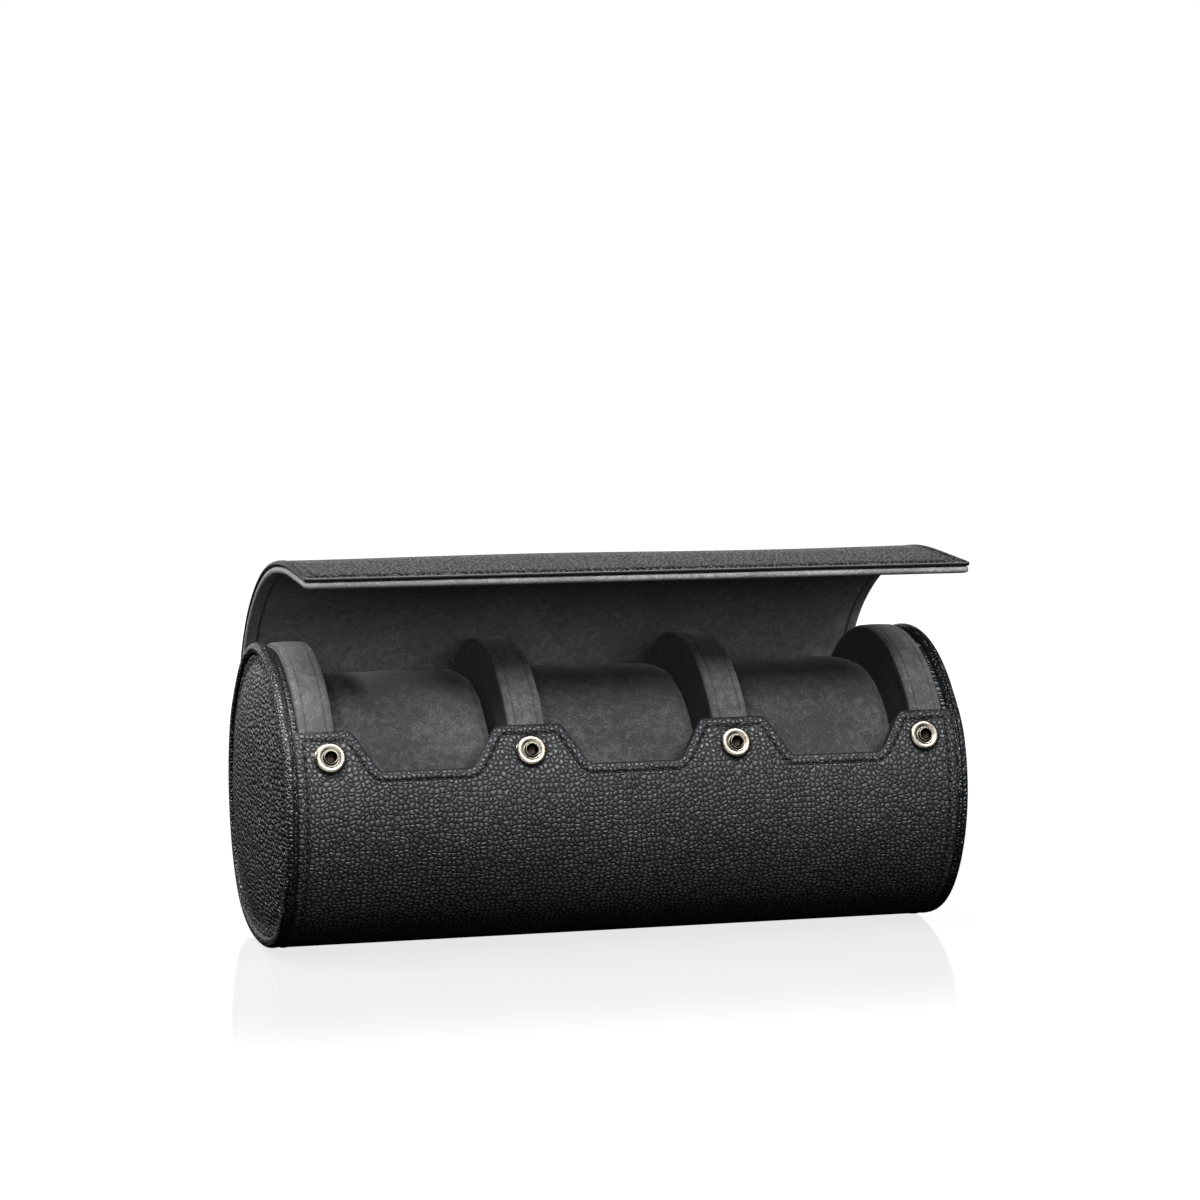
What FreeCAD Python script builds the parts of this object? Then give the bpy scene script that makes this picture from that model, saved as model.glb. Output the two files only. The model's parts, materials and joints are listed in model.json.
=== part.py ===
"""Three-slot watch roll case: a leather drum on its side, with three pillows and a snap-down flap.

Frame: X runs along the drum, -Y is the front, +Z is up. The origin is the middle of the flat base.
All sizes are in millimetres and angles in degrees.
"""
import FreeCAD, Part
import math
import os
import re
import Sketcher

doc = FreeCAD.newDocument("watch_roll_case")
sheet = doc.addObject("Spreadsheet::Sheet", "sizes")

driving_sizes = {
    # drum: outer radius, how much its foot is flattened, and the foot's distance below the axis
    "bodyRadius": 50.0,
    "flattening": 5.5,
    "baseDrop": "=bodyRadius - flattening",
    "leather": 1.5,
    "board": 1.6,
    "lining": 0.8,
    # the heights and flap lengths below are those of a drum of the drawn radius, and grow with the drum
    "drawnRadius": 50.0,
    "growth": "=bodyRadius / drawnRadius",
    # heights above the drum's axis: the snap tabs, the notches between them, and the trays' front edge
    "tabTop": "=26.4 * growth",
    "notchFloor": "=14.5 * growth",
    "trayStep": 2.0,
    "trayTop": "=notchFloor - trayStep",
    "notchBottomWidth": 28.6,
    "notchTopWidth": 45.6,
    # dividers, and the compartments between them
    "compartment": 53.0,
    "dividerPlay": 0.3,
    "dividerRadius": "=bodyRadius - leather - dividerPlay",
    "endDivider": 10.8,
    "midDivider": 11.6,
    "suede": 0.8,
    # end caps
    "capBoard": 2.3,
    "pipingWidth": 3.0,
    "pipingDepth": 3.2,
    "domeRim": 2.0,
    "domeHeight": 5.6,
    "capLeather": 1.4,
    # pillows, with a gap all round for the watch strap
    "strapGap": 6.6,
    "pillowRadius": "=bodyRadius - leather - board - lining - strapGap",
    "pillowFoot": 26.0,
    "pillowPlay": 0.5,
    "pillowCover": 1.0,
    "pillowLift": 0.3,
    # flap: set in a little from the drum's ends, and clear of the dividers at its root
    "flapInset": 0.8,
    "flapWidth": "=3 * compartment + 2 * ( midDivider + endDivider + capBoard - flapInset )",
    "flapLeather": 1.7,
    "flapLining": 2.4,
    "flapClearance": 0.6,
    "flapRootRadius": "=dividerRadius + flapClearance + flapLining",
    "flapLean": 4.8,
    "flapGap": 0.12,
    # snaps: height above the axis, distance in from the drum's end, and reach along the flap's tip
    "snapHeight": "=18.65 * growth",
    "snapInset": 10.7,
    "snapReach": "=14.0 * growth",
    "studFlange": 4.8,
    "studFlangeThickness": 1.0,
    "studPost": 2.1,
    "studPostHeight": 2.2,
    "studBore": 1.55,
    "rivetHead": 4.0,
    "rivetHeadThickness": 0.9,
    "rivetShank": 1.6,
    "socketRadius": 4.6,
    "socketBore": 2.45,
    "socketBack": 0.5,
    "snapPlay": 0.05,
}

# Each flap strip: name, length along the flap at the drawn radius, turn towards the front along that
# length, and the bend at its back edge from the rest shape to the closed one, and from rest to thrown back.
flap_strips = [
    ("flap_base", 20.0, 8.0, 9.1, 27.3),
    ("flap_back", 20.0, 26.0, 9.0, 27.0),
    ("flap_shoulder_lower", 22.0, 22.0, 0.0, 25.0),
    ("flap_shoulder_upper", 22.0, 16.0, 0.0, 25.0),
    ("flap_crown", 23.4, 16.0, 10.5, 31.5),
    ("flap_front", 23.4, 10.0, 8.7, 26.1),
    ("flap_tip", 26.0, 1.0, 26.4, 30.0),
]

for row, (alias, number) in enumerate(driving_sizes.items(), start=1):
    sheet.set("A%d" % row, alias)
    sheet.set("B%d" % row, str(number))
    sheet.setAlias("B%d" % row, alias)
first_strip_row = len(driving_sizes) + 2
for row, (strip, length, turn, close_bend, open_bend) in enumerate(flap_strips, start=first_strip_row):
    sheet.set("A%d" % row, strip)
    strip_cells = {
        "B": ("Length", "=%s * growth" % length),
        "C": ("Turn", turn),
        "D": ("Close", close_bend),
        "E": ("Open", open_bend),
    }
    for column, (ending, number) in strip_cells.items():
        sheet.set("%s%d" % (column, row), str(number))
        sheet.setAlias("%s%d" % (column, row), strip + ending)
doc.recompute()

aliases = set(driving_sizes)
pieces = []


def size(alias):
    """The number in the sheet's cell with this alias."""
    return float(sheet.get(alias))


def sized(text):
    """An expression in which each word that is an alias is looked up in the sheet."""
    return re.sub(r"[A-Za-z]\w*", lambda word: "sizes." * (word.group() in aliases) + word.group(), text)


def place(item, x="0", z="baseDrop"):
    """Put an object at x along the drum, with its local origin on the drum's axis."""
    item.setExpression("Placement.Base.x", sized(x))
    item.setExpression("Placement.Base.z", sized(z))


def new_body(label, x="0", turned=False):
    """An empty body that starts at x; turned bodies grow towards -X."""
    body = doc.addObject("PartDesign::Body", label)
    body.Label = label
    if turned:
        body.Placement = FreeCAD.Placement(FreeCAD.Vector(), FreeCAD.Rotation(FreeCAD.Vector(0, 0, 1), 180))
    place(body, x)
    return body


def plane_sketch(body, role, name):
    """A sketch on one of the body's own origin planes."""
    sketch = body.newObject("Sketcher::SketchObject", name)
    plane = [feature for feature in body.Origin.OriginFeatures if feature.Role == role][0]
    sketch.AttachmentSupport = [(plane, "")]
    sketch.MapMode = "FlatFace"
    return sketch


def bind(sketch, constraint, name, text):
    """Add a constraint whose value is an expression on the sheet."""
    index = sketch.addConstraint(constraint)
    sketch.renameConstraint(index, name)
    sketch.setExpression("Constraints." + name, sized(text))


def add_drum_outline(sketch, name, radius, drop):
    """A closed circle about the drum's axis with its bottom cut off flat."""
    rough_radius = 50.0
    rough_drop = 45.0
    dip = math.asin(rough_drop / rough_radius)
    half = rough_radius * math.cos(dip)
    foot_left = FreeCAD.Vector(-half, -rough_drop)
    foot_right = FreeCAD.Vector(half, -rough_drop)
    circle = Part.Circle(FreeCAD.Vector(), FreeCAD.Vector(0, 0, 1), rough_radius)
    arc = sketch.addGeometry(Part.ArcOfCircle(circle, -dip, math.pi + dip))
    foot = sketch.addGeometry(Part.LineSegment(foot_left, foot_right))
    sketch.addConstraint(Sketcher.Constraint("Coincident", arc, 3, -1, 1))
    sketch.addConstraint(Sketcher.Constraint("Coincident", arc, 2, foot, 1))
    sketch.addConstraint(Sketcher.Constraint("Coincident", arc, 1, foot, 2))
    sketch.addConstraint(Sketcher.Constraint("Horizontal", foot))
    bind(sketch, Sketcher.Constraint("Radius", arc, rough_radius), name + "Radius", radius)
    bind(sketch, Sketcher.Constraint("DistanceY", foot, 1, -1, 1, rough_drop), name + "Drop", drop)


def pad(body, sketch, name, length):
    """Raise a sketch into a solid along the body's X."""
    feature = body.newObject("PartDesign::Pad", name)
    feature.Profile = sketch
    feature.setExpression("Length", sized(length))
    sketch.Visibility = False
    return feature


def drum_slice(label, radius, drop, x, width, turned=False):
    """A flat-footed disc."""
    body = new_body(label, x, turned)
    sketch = plane_sketch(body, "YZ_Plane", label + "_outline")
    add_drum_outline(sketch, "outer", radius, drop)
    pad(body, sketch, label + "_pad", width)
    return body


def drum_ring(label, outer, inner, x, width, turned=False):
    """A flat-footed ring: outer and inner are pairs of radius and drop."""
    body = new_body(label, x, turned)
    sketch = plane_sketch(body, "YZ_Plane", label + "_outline")
    add_drum_outline(sketch, "outer", *outer)
    add_drum_outline(sketch, "inner", *inner)
    pad(body, sketch, label + "_pad", width)
    return body


def trough(label, outer, inner, front_top, x, width):
    """A drum wall that is open above: from the back at the axis's height, under, and up to front_top."""
    body = new_body(label, x)
    sketch = plane_sketch(body, "YZ_Plane", label + "_outline")
    centre = FreeCAD.Vector()
    normal = FreeCAD.Vector(0, 0, 1)
    rough = {"outer": (50.0, 46.0), "inner": (47.0, 43.0)}
    rough_top = 15.0
    arcs = {}
    for wall, (radius, drop) in (("outer", outer), ("inner", inner)):
        rough_radius, rough_drop = rough[wall]
        dip = math.asin(rough_drop / rough_radius)
        rise = math.asin(rough_top / rough_radius)
        half = rough_radius * math.cos(dip)
        circle = Part.Circle(centre, normal, rough_radius)
        back = sketch.addGeometry(Part.ArcOfCircle(circle, -dip, 0))
        front = sketch.addGeometry(Part.ArcOfCircle(circle, math.pi - rise, math.pi + dip))
        foot_line = Part.LineSegment(FreeCAD.Vector(-half, -rough_drop), FreeCAD.Vector(half, -rough_drop))
        foot = sketch.addGeometry(foot_line)
        for arc in (back, front):
            sketch.addConstraint(Sketcher.Constraint("Coincident", arc, 3, -1, 1))
        sketch.addConstraint(Sketcher.Constraint("Coincident", front, 2, foot, 1))
        sketch.addConstraint(Sketcher.Constraint("Coincident", foot, 2, back, 1))
        sketch.addConstraint(Sketcher.Constraint("Horizontal", foot))
        bind(sketch, Sketcher.Constraint("Radius", back, rough_radius), wall + "BackRadius", radius)
        bind(sketch, Sketcher.Constraint("Radius", front, rough_radius), wall + "FrontRadius", radius)
        bind(sketch, Sketcher.Constraint("DistanceY", foot, 1, -1, 1, rough_drop), wall + "Drop", drop)
        sketch.addConstraint(Sketcher.Constraint("PointOnObject", back, 2, -1))
        arcs[wall] = (back, front)
    ends = {}
    for wall in ("outer", "inner"):
        rough_radius = rough[wall][0]
        ends[wall] = FreeCAD.Vector(-math.sqrt(rough_radius ** 2 - rough_top ** 2), rough_top)
    lip = sketch.addGeometry(Part.LineSegment(ends["outer"], ends["inner"]))
    rear_outer = FreeCAD.Vector(rough["outer"][0], 0)
    rear_inner = FreeCAD.Vector(rough["inner"][0], 0)
    rear = sketch.addGeometry(Part.LineSegment(rear_outer, rear_inner))
    sketch.addConstraint(Sketcher.Constraint("Coincident", lip, 1, arcs["outer"][1], 1))
    sketch.addConstraint(Sketcher.Constraint("Coincident", lip, 2, arcs["inner"][1], 1))
    sketch.addConstraint(Sketcher.Constraint("Coincident", rear, 1, arcs["outer"][0], 2))
    sketch.addConstraint(Sketcher.Constraint("Coincident", rear, 2, arcs["inner"][0], 2))
    sketch.addConstraint(Sketcher.Constraint("Horizontal", lip))
    bind(sketch, Sketcher.Constraint("DistanceY", -1, 1, lip, 1, rough_top), "frontTop", front_top)
    pad(body, sketch, label + "_pad", width)
    return body


def name_piece(item, label):
    """Count a finished object as a piece of the case, under its own name."""
    item.Label = label
    pieces.append(item)


# Places along the drum
pitch = "( compartment + midDivider )"
cavity_half = "( 1.5 * compartment + midDivider )"
body_half = "( " + cavity_half + " + endDivider + capBoard )"


# Leather wrap with its notches and stud holes
def cut_notches(body):
    """Three trapezoid notches in the front wall, one at each compartment."""
    sketch = plane_sketch(body, "XZ_Plane", "notch_outline")
    low = 14.0
    high = 27.0
    corners = [(-14, low), (14, low), (23, high), (-23, high)]
    sides = []
    for start, end in zip(corners, corners[1:] + corners[:1]):
        sides.append(sketch.addGeometry(Part.LineSegment(FreeCAD.Vector(*start), FreeCAD.Vector(*end))))
    for this_side, next_side in zip(sides, sides[1:] + sides[:1]):
        sketch.addConstraint(Sketcher.Constraint("Coincident", this_side, 2, next_side, 1))
    sketch.addConstraint(Sketcher.Constraint("Horizontal", sides[0]))
    sketch.addConstraint(Sketcher.Constraint("Horizontal", sides[2]))
    bind(sketch, Sketcher.Constraint("DistanceY", -1, 1, sides[0], 1, low), "floor", "notchFloor")
    bind(sketch, Sketcher.Constraint("DistanceY", -1, 1, sides[2], 1, high), "top", "tabTop + leather")
    bind(sketch, Sketcher.Constraint("DistanceX", sides[0], 1, sides[0], 2, 28.0), "bottomWidth",
         "notchBottomWidth")
    bind(sketch, Sketcher.Constraint("DistanceX", sides[2], 2, sides[2], 1, 46.0), "topWidth",
         "notchTopWidth")
    first_middle = body_half + " - " + pitch
    bind(sketch, Sketcher.Constraint("DistanceX", -1, 1, sides[0], 1, 10.0), "bottomPlace",
         first_middle + " - notchBottomWidth / 2")
    bind(sketch, Sketcher.Constraint("DistanceX", -1, 1, sides[2], 2, 5.0), "topPlace",
         first_middle + " - notchTopWidth / 2")
    notch = body.newObject("PartDesign::Pocket", "notch")
    notch.Profile = sketch
    notch.Type = "ThroughAll"
    notch.Midplane = True
    sketch.Visibility = False
    row = body.newObject("PartDesign::LinearPattern", "notch_row")
    row.Originals = [notch]
    row.Direction = (sketch, ["H_Axis"])
    row.setExpression("Length", sized("2 * " + pitch))
    row.Occurrences = 3
    body.Tip = row


def wrap_leather():
    """The leather sheet round the drum, notched in front and drilled for the four stud rivets."""
    outside = ("bodyRadius", "baseDrop")
    inside = ("bodyRadius - leather", "baseDrop - leather")
    wrap = trough("wrap", outside, inside, "tabTop", "- " + body_half, "2 * " + body_half)
    cut_notches(wrap)
    recess_depth = "1 + rivetHeadThickness + snapPlay"
    recess = rod("rivet_recess", "rivetHead + snapPlay", "- leather - 1", recess_depth)
    passage = rod("rivet_passage", "rivetShank + snapPlay", "- leather - 1", "leather + 2")
    drill = joined("rivet_drill", recess, passage)
    drills = snap_group("rivet_drills", drill)
    name_piece(difference("leather_with_holes", wrap, drills), "body_leather")


# Plain solids for the fittings
def rod(name, radius, start, length):
    """A cylinder on its local Z axis."""
    cylinder = doc.addObject("Part::Cylinder", name)
    cylinder.setExpression("Radius", sized(radius))
    cylinder.setExpression("Height", sized(length))
    cylinder.setExpression("Placement.Base.z", sized(start))
    return cylinder


def joined(name, *parts):
    """Several solids fused into one."""
    fuse = doc.addObject("Part::MultiFuse", name)
    fuse.Shapes = list(parts)
    return fuse


def difference(name, base, tool):
    """The base without the tool."""
    cut = doc.addObject("Part::Cut", name)
    cut.Base = base
    cut.Tool = tool
    return cut


def snap_group(name, source):
    """Four copies of a fitting, standing on the outside of the front wall at the snaps."""
    copies = []
    end_place = body_half + " - snapInset"
    middle_place = pitch + " / 2"
    for index, x in enumerate(("- ( %s )" % end_place, "- " + middle_place, middle_place, end_place)):
        copy = doc.addObject("App::Link", "%s_%d" % (name, index + 1))
        copy.LinkedObject = source
        copy.LinkTransform = False
        copy.Placement = FreeCAD.Placement(FreeCAD.Vector(), FreeCAD.Rotation(FreeCAD.Vector(1, 0, 0), 60))
        copy.setExpression("Placement.Base.x", sized(x))
        copy.setExpression("Placement.Base.y", sized("- sqrt( bodyRadius ^ 2 - snapHeight ^ 2 )"))
        copy.setExpression("Placement.Base.z", sized("baseDrop + snapHeight"))
        tilt = "90 - asin( snapHeight / bodyRadius ) / 1 deg"
        copy.setExpression("Placement.Rotation.Angle", sized(tilt))
        copies.append(copy)
    group = doc.addObject("Part::Compound", name)
    group.Links = copies
    return group


def snap_fittings():
    """Ring studs on the front wall, and the rivets that hold them."""
    flange = rod("stud_flange", "studFlange", "0", "studFlangeThickness")
    post = rod("stud_post", "studPost", "0", "studPostHeight")
    bore = rod("stud_bore", "studBore", "studFlangeThickness + 0.2", "studPostHeight")
    socket = rod("stud_rivet_hole", "rivetShank + snapPlay", "- 1", "1 + studFlangeThickness - 0.1")
    stud = difference("stud", joined("stud_blank", flange, post), joined("stud_holes", bore, socket))
    name_piece(snap_group("studs", stud), "snap_studs")
    head = rod("rivet_head", "rivetHead", "- leather", "rivetHeadThickness")
    shank = rod("rivet_shank", "rivetShank", "- leather", "leather + studFlangeThickness - 0.2")
    name_piece(snap_group("rivets", joined("rivet", head, shank)), "snap_rivets")


# Trays between the dividers
def trays():
    """A board and a suede lining in each compartment."""
    board_outside = ("bodyRadius - leather", "baseDrop - leather")
    board_inside = ("bodyRadius - leather - board", "baseDrop - leather - board")
    lining_inside = ("bodyRadius - leather - board - lining", "baseDrop - leather - board - lining")
    for step, side in ((-1, "left"), (0, "middle"), (1, "right")):
        x = "%d * %s - compartment / 2" % (step, pitch)
        board = trough("board_" + side, board_outside, board_inside, "trayTop", x, "compartment")
        name_piece(board, "tray_board_" + side)
        lining = trough("lining_" + side, board_inside, lining_inside, "trayTop", x, "compartment")
        name_piece(lining, "tray_lining_" + side)


# Dividers
def divider(name, x, width, faces):
    """A padded core with a suede band round its rim, and suede on the faces that show."""
    core_size = ("dividerRadius - suede", "baseDrop - leather - suede")
    rim_size = ("dividerRadius", "baseDrop - leather")
    start = x
    core_width = width
    if "left" in faces:
        name_piece(drum_slice(name + "_cheek_left", *core_size, start, "suede"), name + "_left_face")
        start = start + " + suede"
        core_width = core_width + " - suede"
    if "right" in faces:
        cheek_start = "%s + %s - suede" % (x, width)
        cheek = drum_slice(name + "_cheek_right", *core_size, cheek_start, "suede")
        name_piece(cheek, name + "_right_face")
        core_width = core_width + " - suede"
    name_piece(drum_slice(name + "_disc", *core_size, start, core_width), name + "_core")
    name_piece(drum_ring(name + "_band", rim_size, core_size, x, width), name + "_rim")


def dividers():
    """Two dividers at the ends and two between the compartments."""
    divider("divider_left_end", "- %s - endDivider" % cavity_half, "endDivider", ("right",))
    divider("divider_left", "- compartment / 2 - midDivider", "midDivider", ("left", "right"))
    divider("divider_right", "compartment / 2", "midDivider", ("left", "right"))
    divider("divider_right_end", cavity_half, "endDivider", ("left",))


# End caps
def dome(name, side, radius, drop, rim, height):
    """A disc with a straight rim and a slightly bulged face that points away from the drum."""
    cylinder = doc.addObject("Part::Cylinder", name + "_cylinder")
    cylinder.setExpression("Radius", sized(radius))
    cylinder.setExpression("Height", sized(height))
    about = FreeCAD.Rotation(FreeCAD.Vector(0, 0, 1), 90 - 90 * side)
    along = FreeCAD.Rotation(FreeCAD.Vector(0, 1, 0), 90)
    cylinder.Placement = FreeCAD.Placement(FreeCAD.Vector(), about * along)
    place(cylinder, "%d * %s" % (side, body_half))
    ball = doc.addObject("Part::Sphere", name + "_ball")
    bulge = "( ( %s ) - ( %s ) )" % (height, rim)
    ball_radius = "( ( ( %s ) ^ 2 + %s ^ 2 ) / ( 2 * %s ) )" % (radius, bulge, bulge)
    ball.setExpression("Radius", sized(ball_radius))
    ball.Placement = FreeCAD.Placement(FreeCAD.Vector(), about)
    place(ball, "%d * ( %s + ( %s ) - %s )" % (side, body_half, height, ball_radius))
    block = doc.addObject("Part::Box", name + "_block")
    block.setExpression("Length", sized("2 * ( %s )" % height))
    block.setExpression("Width", sized("2 * ( %s )" % radius))
    block.setExpression("Height", sized("( %s ) + ( %s )" % (radius, drop)))
    place(block, "%d * %s - ( %s )" % (side, body_half, height), "baseDrop - ( %s )" % drop)
    block.setExpression("Placement.Base.y", sized("- ( %s )" % radius))
    solid = doc.addObject("Part::MultiCommon", name)
    solid.Shapes = [cylinder, ball, block]
    return solid


def end_caps():
    """Board, foam pad, domed leather cover and leather piping at each end."""
    piping_inner = ("bodyRadius - pipingDepth", "baseDrop - pipingDepth")
    pad_size = ("bodyRadius - pipingDepth - capLeather", "baseDrop - pipingDepth - capLeather")
    pad_shape = ("domeRim - capLeather / 2", "domeHeight - capLeather")
    for side, word in ((-1, "left"), (1, "right")):
        turned = side < 0
        board_start = "%d * ( %s - capBoard )" % (side, body_half)
        board = drum_slice("end_board_" + word, "bodyRadius - leather", "baseDrop - leather",
                           board_start, "capBoard", turned)
        name_piece(board, "cap_%s_board" % word)
        piping = drum_ring("end_piping_" + word, ("bodyRadius", "baseDrop"), piping_inner,
                           "%d * %s" % (side, body_half), "pipingWidth", turned)
        name_piece(piping, "cap_%s_piping" % word)
        cover = dome("end_cover_" + word, side, *piping_inner, "domeRim", "domeHeight")
        foam = dome("end_foam_" + word, side, *pad_size, *pad_shape)
        name_piece(foam, "cap_%s_foam" % word)
        name_piece(difference("end_dome_" + word, cover, foam), "cap_%s_leather" % word)


# Pillows
def add_pillow_outline(sketch, name, radius, drop, foot_width):
    """A round top about the drum's axis, with straight sides that lean in to a flat foot."""
    rough_radius = 39.5
    rough_drop = 40.3
    half = 13.0
    lean = math.atan2(rough_drop, half) - math.acos(rough_radius / math.hypot(half, rough_drop))
    circle = Part.Circle(FreeCAD.Vector(), FreeCAD.Vector(0, 0, 1), rough_radius)
    arc = sketch.addGeometry(Part.ArcOfCircle(circle, -lean, math.pi + lean))
    side_y = rough_radius * math.cos(lean)
    side_z = -rough_radius * math.sin(lean)
    top_left = FreeCAD.Vector(-side_y, side_z)
    foot_left = FreeCAD.Vector(-half, -rough_drop)
    foot_right = FreeCAD.Vector(half, -rough_drop)
    top_right = FreeCAD.Vector(side_y, side_z)
    left = sketch.addGeometry(Part.LineSegment(top_left, foot_left))
    foot = sketch.addGeometry(Part.LineSegment(foot_left, foot_right))
    right = sketch.addGeometry(Part.LineSegment(foot_right, top_right))
    sketch.addConstraint(Sketcher.Constraint("Coincident", arc, 3, -1, 1))
    sketch.addConstraint(Sketcher.Constraint("Tangent", arc, 2, left, 1))
    sketch.addConstraint(Sketcher.Constraint("Coincident", left, 2, foot, 1))
    sketch.addConstraint(Sketcher.Constraint("Coincident", foot, 2, right, 1))
    sketch.addConstraint(Sketcher.Constraint("Tangent", right, 2, arc, 1))
    sketch.addConstraint(Sketcher.Constraint("Symmetric", foot, 1, foot, 2, -2))
    bind(sketch, Sketcher.Constraint("Radius", arc, rough_radius), name + "Radius", radius)
    bind(sketch, Sketcher.Constraint("DistanceY", foot, 1, -1, 1, rough_drop), name + "Drop", drop)
    bind(sketch, Sketcher.Constraint("DistanceX", foot, 1, foot, 2, 2 * half), name + "Foot", foot_width)


def pillow_slice(label, outlines, x, width):
    """A slice of the pillow's section; a second outline makes it hollow."""
    body = new_body(label, x)
    sketch = plane_sketch(body, "YZ_Plane", label + "_outline")
    for name, outline in zip(("outer", "inner"), outlines):
        add_pillow_outline(sketch, name, *outline)
    pad(body, sketch, label + "_pad", width)
    return body


def pillows():
    """Foam, suede sleeve and two suede ends for each compartment."""
    floor = "baseDrop - leather - board - lining - pillowLift"
    outer = ("pillowRadius", floor, "pillowFoot")
    inner = ("pillowRadius - pillowCover", floor + " - pillowCover", "pillowFoot - pillowCover")
    width = "( compartment - 2 * pillowPlay )"
    for step, side in ((-1, "left"), (0, "middle"), (1, "right")):
        x = "%d * %s - %s / 2" % (step, pitch, width)
        sleeve_start = x + " + pillowCover"
        sleeve_width = width + " - 2 * pillowCover"
        foam = pillow_slice("stuffing_" + side, [inner], sleeve_start, sleeve_width)
        name_piece(foam, "pillow_%s_foam" % side)
        sleeve = pillow_slice("sleeve_" + side, [outer, inner], sleeve_start, sleeve_width)
        name_piece(sleeve, "pillow_%s_cover" % side)
        near_end = pillow_slice("near_end_" + side, [outer], x, "pillowCover")
        far_start = "%s + %s - pillowCover" % (x, width)
        far_end = pillow_slice("far_end_" + side, [outer], far_start, "pillowCover")
        ends = doc.addObject("Part::Compound", "ends_" + side)
        ends.Links = [near_end, far_end]
        name_piece(ends, "pillow_%s_ends" % side)


# Flap: each strip follows an arc of its own, and the strips meet tangent to each other at rest
def outward(heading):
    """The leather side's direction where the flap runs towards heading, an angle from +Z to -Y."""
    return FreeCAD.Vector(0, math.cos(heading), math.sin(heading))


def flap_layer(centre, radius, start, stop, level, thickness, start_bevel, stop_bevel):
    """One layer of a strip: an arc's band from level to level + thickness, with bevelled ends."""
    half_width = size("flapWidth") / 2
    gap = size("flapGap")
    corners = {}
    for height in (level, level + thickness):
        early = start + (gap + abs(height) * math.tan(start_bevel)) / radius
        late = stop - (gap + abs(height) * math.tan(stop_bevel)) / radius
        points = []
        for heading in (early, (early + late) / 2, late):
            points.append(centre + outward(heading) * (radius + height) - FreeCAD.Vector(half_width, 0, 0))
        corners[height] = points
    near, far = corners[level], corners[level + thickness]
    outline = [
        Part.Arc(*near).toShape(),
        Part.LineSegment(near[2], far[2]).toShape(),
        Part.Arc(*far).toShape(),
        Part.LineSegment(far[0], near[0]).toShape(),
    ]
    face = Part.Face(Part.Wire(Part.__sortEdges__(outline)))
    return face.extrude(FreeCAD.Vector(2 * half_width, 0, 0))


def add_feature(label, shape):
    """A piece whose shape follows the flap's path."""
    feature = doc.addObject("Part::Feature", label)
    feature.Shape = shape
    name_piece(feature, label)


def snap_places():
    """The four snaps' places along the drum."""
    middle = (size("compartment") + size("midDivider")) / 2
    cavity_end = 1.5 * size("compartment") + size("midDivider")
    end = cavity_end + size("endDivider") + size("capBoard") - size("snapInset")
    return (-end, -middle, middle, end)


def discs(point, direction, radius, start, length):
    """Four discs on the flap's tip, from start to start + length along direction."""
    shapes = []
    for x in snap_places():
        base = FreeCAD.Vector(x, point.y, point.z) + direction * start
        shapes.append(Part.makeCylinder(radius, length, base, direction))
    return Part.makeCompound(shapes)


def flap():
    """Seven strips from the back edge of the drum to the snap edge, and the sockets in the last one."""
    leather = size("flapLeather")
    lining = size("flapLining")
    play = size("snapPlay")
    back = size("socketBack")
    point = FreeCAD.Vector(0, size("flapRootRadius"), size("baseDrop"))
    heading = -math.radians(size("flapLean"))
    clear = math.radians(1)
    names = [strip[0] for strip in flap_strips]
    for index, name in enumerate(names):
        turn = math.radians(size(name + "Turn"))
        radius = size(name + "Length") / turn
        centre = point - outward(heading) * radius
        following = names[index + 1] if index + 1 < len(names) else None
        share = 1.0 if index == 0 else 0.5
        open_start = math.radians(size(name + "Open")) * share + clear
        close_start = math.radians(size(name + "Close")) * share + clear
        open_stop = math.radians(size(following + "Open")) / 2 + clear if following else 0.0
        close_stop = math.radians(size(following + "Close")) / 2 + clear if following else 0.0
        stop = heading + turn
        outer = flap_layer(centre, radius, heading, stop, 0.0, leather, open_start, open_stop)
        inner = flap_layer(centre, radius, heading, stop, -lining, lining, close_start, close_stop)
        if following is None:
            snap_heading = heading + size("snapReach") / radius
            seat = centre + outward(snap_heading) * radius
            direction = outward(snap_heading)
            reach = size("socketRadius")
            outer = outer.cut(discs(seat, direction, reach + play, -1.0, 1.0 + back + play))
            inner = inner.cut(discs(seat, direction, reach + play, -lining - 1, lining + 2))
            rings = discs(seat, direction, reach, -lining, lining)
            rings = rings.cut(discs(seat, direction, size("socketBore"), -lining - 1, lining + 2))
            add_feature("snap_sockets", rings)
            add_feature("snap_socket_backs", discs(seat, direction, reach, 0.0, back))
        add_feature(name + "_leather", outer)
        add_feature(name + "_lining", inner)
        heading = stop
        point = centre + outward(heading) * radius


wrap_leather()
trays()
dividers()
end_caps()
snap_fittings()
pillows()
flap()
doc.recompute()

for item in doc.Objects:
    if "Invalid" in item.State or "Error" in item.State:
        raise RuntimeError("%s failed: %s" % (item.Name, item.State))
os.makedirs("parts", exist_ok=True)
for item in pieces:
    shape = item.Shape
    if shape.isNull() or not shape.isValid() or not shape.Solids:
        raise RuntimeError(item.Label + " has no valid shape")
    shape.exportStep("parts/%s.step" % item.Label)
print("%d pieces" % len(pieces))
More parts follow.
